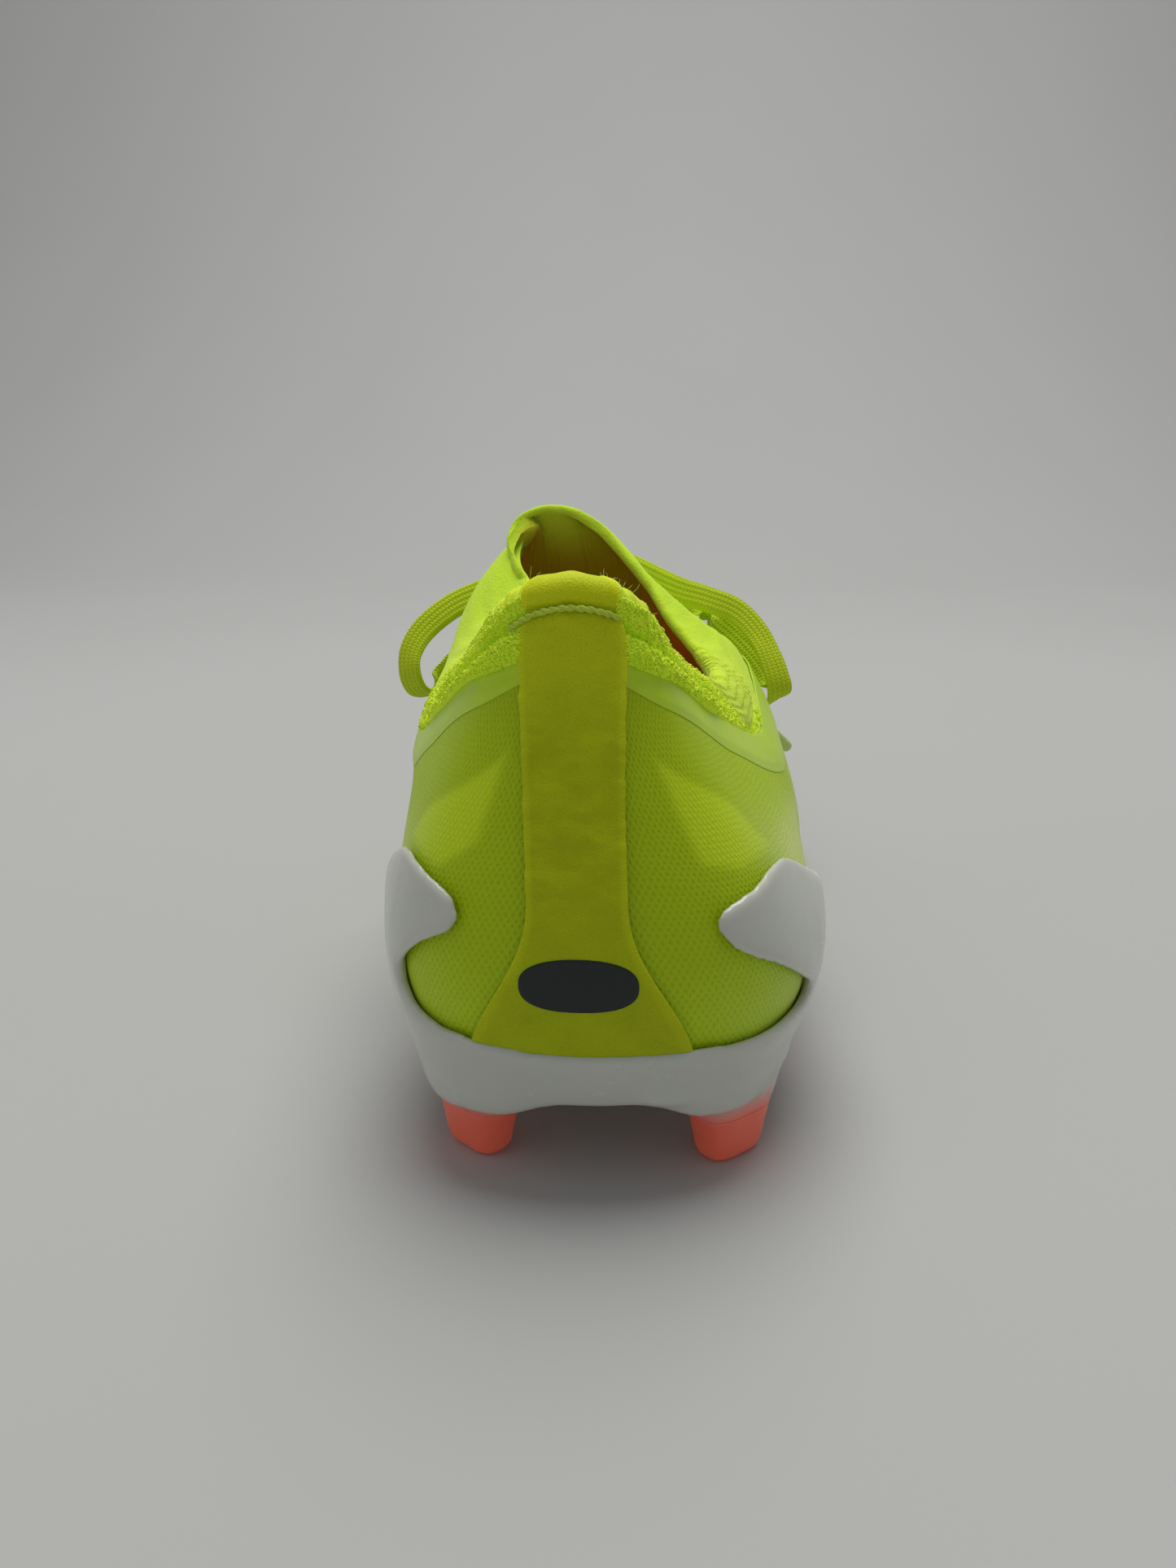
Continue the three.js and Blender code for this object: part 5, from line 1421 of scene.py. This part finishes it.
liner = bed("sock_liner", lambda t: mix(4.2, 8.0, np.clip((t - 0.75) / 0.25, 0, 1)), 2.4, 6.2, 1.2)
dress(liner, LINER_LOOK, "sockliner", None, "sockliner_heel", "sockliner_forefoot")
bends(liner)
board = bed("lasting_board", lambda t: 2.2 + 0 * t, 0.45, 1.95)
dress(board, BOARD_LOOK, "board", None, "insole_board_heel", "insole_board_forefoot")
bends(board)
for node in ("heel_counter", "toe_puff"):
    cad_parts[node].data.materials.clear()
    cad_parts[node].data.materials.append(STIFF_LOOK)

# %% [markdown]
# ## The sole
# The outsole is one moulding: a tray round the foot, two wings that clasp the heel, and studs that grow out
# of the plate with soft roots. The parts are made as closed bodies that overlap, a voxel remesh joins them
# into one skin, and a little smoothing gives the roots their fillets. A boolean would keep hard creases
# where a mould has none.

# %% Sole outlines
WALL_IN, WALL_OUT, PLATE = 0.15, 2.15, 3.4
# The wall's top edge from the heel's back to the notch below each wing, then on over the wing and along the
# side.
FRONT_EDGE = [(0.195, 0.345), (0.25, 0.27), (0.31, 0.21), (0.4, 0.16), (0.5, 0.14), (0.64, 0.13),
              (0.74, 0.13), (0.85, 0.15), (0.93, 0.19), (1.0, 0.27)]
OUTLINES = {
    1: {
        "notch": 0.158, "wall": [(0, 0.072), (0.06, 0.074), (0.1, 0.074), (0.143, 0.078), (0.158, 0.10)],
        "high": [(0.082, 0.352), (0.0835, 0.366), (0.087, 0.378), (0.093, 0.388), (0.112, 0.415),
                 (0.124, 0.436), (0.135, 0.450), (0.148, 0.456), (0.158, 0.445), (0.17, 0.415),
                 (0.18, 0.390)] + FRONT_EDGE,
        "low": [(0.082, 0.342), (0.0835, 0.325), (0.088, 0.302), (0.098, 0.277), (0.109, 0.253),
                (0.13, 0.195), (0.15, 0.135), (0.158, 0.11), (0.166, 0.0)],
    },
    -1: {
        "notch": 0.119, "wall": [(0, 0.072), (0.03, 0.076), (0.062, 0.086), (0.086, 0.10), (0.105, 0.125),
                                 (0.113, 0.155), (0.119, 0.20)],
        "high": [(0.074, 0.365), (0.0755, 0.381), (0.079, 0.398), (0.086, 0.415), (0.095, 0.432),
                 (0.11, 0.456), (0.122, 0.470), (0.135, 0.474), (0.15, 0.452), (0.17, 0.405),
                 (0.185, 0.382)] + FRONT_EDGE,
        "low": [(0.074, 0.358), (0.0755, 0.342), (0.079, 0.329), (0.086, 0.316), (0.095, 0.300),
                (0.105, 0.266), (0.113, 0.232), (0.119, 0.20), (0.128, 0.0)],
    },
}


def table(pairs, t):
    at, values = np.array(pairs, float).T
    return np.interp(t, at, values)


def wall_top(side, t):
    outline = OUTLINES[side]
    return np.where(t < outline["notch"], table(outline["wall"], t), table(outline["high"], t))


# %% Sole bodies
sole_points, sole_faces, sole_start = [], [], 0


def add_body(points, faces):
    """Adds one closed body to the sole, facing out."""
    global sole_start
    first, clean = welded(points, faces)
    co = points[first]
    volume = sum(np.dot(co[f[0]], np.cross(co[f[i]], co[f[i + 1]])) for f in clean
                 for i in range(1, len(f) - 1))
    sole_points.append(co)
    sole_faces.extend([[c + sole_start for c in (f if volume > 0 else f[::-1])] for f in clean])
    sole_start += len(co)


t_rows = np.concatenate([spaced(0, 0.2, 80)[:-1], spaced(0.2, 1, 130)])
SIDE, UNDER = 14, 22
tray_grids = {}
for layer, out in (("outer", WALL_OUT), ("inner", WALL_IN)):
    columns = []
    for side in (1, -1):
        k = spaced(1, 0, SIDE)[None, :]
        v = wall_top(side, t_rows)[:, None] * k
        wall = lifted(side * t_rows[:, None] + 0 * v, v, out + 0 * v)
        columns.append(wall if side > 0 else wall[:, ::-1])
    corners = []
    for side in (1, -1):
        lean = 0.3 * WALL_OUT if layer == "outer" else WALL_IN
        plan = np.concatenate([outward(side * t_rows), 0 * t_rows[:, None]], -1)
        corners.append(form(side * t_rows, 0 * t_rows) + plan * lean)
    k = spaced(0, 1, UNDER)[None, :, None]
    plate = mix(corners[0][:, None], corners[1][:, None], k)
    if layer == "outer":
        arch = 0.9 * smooth(0.02, 0.12, t_rows) * smooth(0.42, 0.3, t_rows)
        hollow = (4 * k * (1 - k))[..., 0] * arch[:, None]
        # Between the back studs the underside arches up, and it comes down to meet each of them.
        near_back = np.exp(-(((plate[..., 1] + 128.0) / 11.0) ** 2))
        beside = smooth(5.0, 16.0, np.abs(plate[..., 0] - 2.2)) * near_back
        plate = plate - np.array([0, 0, 1.0]) * (PLATE - hollow + 4.2 * beside)[..., None]
    else:
        plate = plate - np.array([0, 0, WALL_IN])
    tray_grids[layer] = np.concatenate([columns[0], plate, columns[1]], 1)
add_body(*shell_parts(tray_grids["outer"], tray_grids["inner"], round_a=(False, False))[:2])

for side in (1, -1):
    outline = OUTLINES[side]
    nose, last = outline["high"][0][0], outline["low"][-1][0] + 0.012
    t = np.concatenate([nose + (last - nose) * spaced(0, 1, 60) ** 1.5])
    low, high = table(outline["low"], t), table(outline["high"], t)
    v = mix(low[:, None], high[:, None], spaced(0, 1, 26)[None, :])
    u = side * t[:, None] + 0 * v
    # Past the notch the wing lies inside the wall, so the two skins never run along each other.
    sunk_in = 0.1 + 0.5 * smooth(outline["notch"] - 0.002, outline["notch"] + 0.012, t)[:, None]
    add_body(*shell_parts(lifted(u, v, WALL_OUT - sunk_in + 0 * v), lifted(u, v, WALL_IN + 0.3 + 0 * v))[:2])

# %% Studs
# Each stud's station, its place across from -1 inside to 1 outside, then its turn in degrees, length and
# width.
STUDS = {
    "heel_back_outer": (0.127, 0.78, 42, 16, 10), "heel_back_inner": (0.127, -0.70, -42, 16, 10),
    "heel_front_outer": (0.235, 0.74, 84, 15, 8.5), "heel_front_inner": (0.235, -0.74, -84, 15, 8.5),
    "ball_outer": (0.63, 0.74, 80, 16, 9), "ball_inner": (0.63, -0.74, -80, 16, 9),
    "middle_outer": (0.8, 0.76, 108, 15, 8.5), "middle_inner": (0.8, -0.76, -104, 15, 8.5),
    "centre_back": (0.775, 0.02, 0, 11, 9), "centre_front": (0.885, -0.02, 0, 11, 9),
    "toe_outer": (0.9, 0.7, 132, 14, 8), "toe_inner": (0.9, -0.74, -122, 14, 8),
}
FOREFOOT = ("middle", "centre", "toe")
stud_places = {}


def rounded_stack(place, angle, length, width, levels, lean=0.0, sides=40):
    """A closed stack of rounded outlines, a (height, scale) each. lean keeps the flare off the outer side."""
    ring = spaced(0, 2 * math.pi, sides + 1)
    x = 0.5 * np.sign(np.cos(ring)) * np.abs(np.cos(ring)) ** 0.55 * length
    y = 0.5 * np.sign(np.sin(ring)) * np.abs(np.sin(ring)) ** 0.6 * width
    a = math.radians(angle)
    plan = np.stack([x * math.cos(a) - y * math.sin(a), x * math.sin(a) + y * math.cos(a)], -1)
    inward = np.array([-1.0, 0]) * np.sign(place[0]) * width * 0.5
    rows = [np.concatenate([place[:2] + plan * scale + inward * max(0, scale - 1) * lean,
                            0 * ring[:, None] + z], -1)
            for z, scale in levels]
    low, high = rows[0], rows[-1]
    caps = [np.concatenate([0 * plan + place[:2], 0 * ring[:, None] + row[0, 2]], -1) for row in (low, high)]
    stack = np.array([caps[0], *rows, caps[1]])
    return stack.reshape(-1, 3), grid_faces(*stack.shape[:2])


for name, (t, across, angle, length, width) in STUDS.items():
    place = mix(form(-t, 0.0), form(t, 0.0), (1 + across) / 2)
    stud_places[name] = place
    root = place[2] - PLATE
    skirt = 1.0 if name.startswith("heel_back") else 0.2
    levels = [(0, 0.64), (0.25, 0.69), (0.9, 0.71), (4, 0.78), (8, 0.88), (root - 4.2, 0.98 + 0.02 * skirt),
              (root - 2.6, 1.06 + 0.08 * skirt), (root - 1.2, 1.2 + 0.22 * skirt),
              (root + 0.2, 1.45 + 0.45 * skirt),
              (root + 1.4, 1.55 + 0.6 * skirt)]
    add_body(*rounded_stack(place, angle, length, width, levels, 0.0 if name.startswith("centre") else 1.15))

# The gate mark in the middle of the heel, and two low ribs under the arch.
add_body(*rounded_stack(np.array([1.9, -133.2, 0]), 0, 2.6, 2.2,
                        [(13.9, 0.25), (14.3, 0.5), (15.2, 1.0), (16.8, 1.4)]))
for x0, x1 in ((-9, 12), (17, -4)):
    ends = np.array([[x0, -62, 15.4], [x1, 2, 14.3]])
    line = mix(ends[0], ends[1], spaced(0, 1, 30)[:, None]) + np.array([0, 0, 1.0]) * 0.5
    ring = spaced(0, 2 * math.pi, 17)
    body = line[:, None] + np.stack([2.4 * np.cos(ring), 0 * ring, 1.5 * np.sin(ring)], -1)[None]
    centre = body.mean(1, keepdims=True)
    body = np.concatenate([centre[:1] + 0 * body[:1], body, centre[-1:] + 0 * body[-1:]])
    add_body(body.reshape(-1, 3), grid_faces(*body.shape[:2]))

# %% Sole skin
VOXEL, SMOOTHINGS = 0.62, 26
mesh = bpy.data.meshes.new("sole_bodies")
mesh.from_pydata((np.concatenate(sole_points) * MM).tolist(), [], sole_faces)
sole = bpy.data.objects.new("sole", mesh)
bpy.context.scene.collection.objects.link(sole)


def apply_modifiers(made):
    """Replaces the mesh with what its modifiers make of it."""
    graph = bpy.context.evaluated_depsgraph_get()
    graph.update()
    done = bpy.data.meshes.new_from_object(made.evaluated_get(graph))
    made.modifiers.clear()
    made.data = done


remesh = sole.modifiers.new("join", "REMESH")
remesh.mode, remesh.voxel_size, remesh.use_smooth_shade = "VOXEL", VOXEL * MM, True
relax = sole.modifiers.new("relax", "SMOOTH")
relax.factor, relax.iterations = 0.5, SMOOTHINGS
apply_modifiers(sole)
print("sole", len(sole.data.polygons), "faces after the remesh")

# %% Stud tips
# Below this height each stud is a piece of its own, cut from the same skin so its surface runs on unbroken.
TIP_HEIGHT = 8.0 * MM


def cut_at(source, keep_below):
    """A copy of the sole's mesh on one side of the tips' height, closed where it is cut."""
    bm = bmesh.new()
    bm.from_mesh(source)
    geometry = bm.verts[:] + bm.edges[:] + bm.faces[:]
    result = bmesh.ops.bisect_plane(bm, geom=geometry, plane_co=(0, 0, TIP_HEIGHT), plane_no=(0, 0, 1),
                                    clear_outer=keep_below, clear_inner=not keep_below)
    rim_edges = [e for e in result["geom_cut"] if isinstance(e, bmesh.types.BMEdge)]
    bmesh.ops.holes_fill(bm, edges=rim_edges, sides=0)
    return bm


upper_part = cut_at(sole.data, False)
tips_part = cut_at(sole.data, True)
upper_part.to_mesh(sole.data)
upper_part.free()
sole.data.polygons.foreach_set("use_smooth", [len(p.vertices) <= 5 for p in sole.data.polygons])
dress(sole, SOLE_LOOK, "outsole", None, "outsole_heel", "outsole_forefoot")
bends(sole)

for name, place in stud_places.items():
    tip = tips_part.copy()
    near = [v for v in tip.verts if min(stud_places, key=lambda n_: math.dist(
        (stud_places[n_][0] * MM, stud_places[n_][1] * MM), v.co.xy)) != name]
    bmesh.ops.delete(tip, geom=near, context="VERTS")
    tip_mesh = bpy.data.meshes.new(f"tip_{name}")
    tip.to_mesh(tip_mesh)
    tip.free()
    tip_mesh.polygons.foreach_set("use_smooth", [len(p.vertices) <= 5 for p in tip_mesh.polygons])
    made = bpy.data.objects.new(f"tip_{name}", tip_mesh)
    bpy.context.scene.collection.objects.link(made)
    dress(made, SOLE_LOOK, "stud_tip", "forefoot" if name.startswith(FOREFOOT) else "rearfoot",
          f"stud_{name}")
tips_part.free()

# %% [markdown]
# ## Studio
# A pale sweep of paper, and one wide soft light above and beyond the boot. The boot's top edges are bright
# and the heel itself is in soft shade, with a broad faint shadow under the sole. A second light washes the
# paper behind, and a weak one fills the near side.

# %% Sweep and lights
FLOOR_HALF, WALL_AT, COVE, WALL_TOP = 3.0, 1.7, 0.9, 3.6
profile = [(-2.0, 0.0), (WALL_AT - COVE, 0.0)]
profile += [(WALL_AT - COVE + COVE * math.sin(a), COVE - COVE * math.cos(a))
            for a in spaced(0, math.pi / 2, 24)[1:]]
profile += [(WALL_AT, WALL_TOP)]
rows = np.array([[(x, y, z) for y, z in profile] for x in spaced(-FLOOR_HALF, FLOOR_HALF, 5)])
sweep = make_mesh("paper_sweep", rows.reshape(-1, 3) / MM, grid_faces(*rows.shape[:2])[:, ::-1])
paper = Paint("pale_paper", roughness=0.85, specular_ior_level=0.2)
paper_place = paper.node("ShaderNodeTexCoord", output="Object")
mottle = paper.noise(paper_place, 3.0, 3.0)
here_and_there = paper.step(paper.noise(paper_place, 9.0), 0.58, 0.62)
speck = paper.step(paper.cells(paper_place, 60.0), 0.012, 0.004) * here_and_there
shade = paper.blend(mottle, (0.475, 0.475, 0.463), (0.505, 0.505, 0.493))
paper.set(base_color=paper.blend(speck * 0.25, shade, (0.30, 0.29, 0.27)))
sweep.data.materials.append(paper.material)
sweep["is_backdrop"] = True


def area_light(name, place, aim, size, power, colour=(1, 1, 1)):
    data = bpy.data.lights.new(name, "AREA")
    data.shape, data.size, data.energy, data.color = "DISK", size, power, colour
    lamp = bpy.data.objects.new(name, data)
    lamp.location = place
    lamp.rotation_euler = (Vector(aim) - Vector(place)).to_track_quat("-Z", "Y").to_euler()
    bpy.context.scene.collection.objects.link(lamp)
    return lamp


area_light("overhead", (0.06, 0.30, 1.6), (0, 0.0, 0), 1.3, 20.0, (1.0, 0.995, 0.98))
area_light("wall_wash", (0.0, 0.55, 2.3), (0, 1.7, 2.3), 1.2, 17.0)
area_light("front_left", (-0.9, -0.6, 0.9), (0, -0.1, 0.05), 0.9, 0.8)
world = bpy.data.worlds.new("studio")
world.use_nodes = True
world.node_tree.nodes["Background"].inputs["Color"].default_value = (0.95, 0.97, 1.0, 1)
world.node_tree.nodes["Background"].inputs["Strength"].default_value = 0.26
bpy.context.scene.world = world
# The plain transform keeps the bright yellow-green from greying.
bpy.context.scene.view_settings.view_transform = "Standard"

# %% [markdown]
# ## Finish
# The two boxes are written down so that the size of what is shown can be compared with the imported solids.

# %% Sizes
shown_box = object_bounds()
for corner_cad, corner_shown in zip(cad_box, shown_box):
    print([round(a / MM, 1) for a in corner_cad], [round(a / MM, 1) for a in corner_shown])
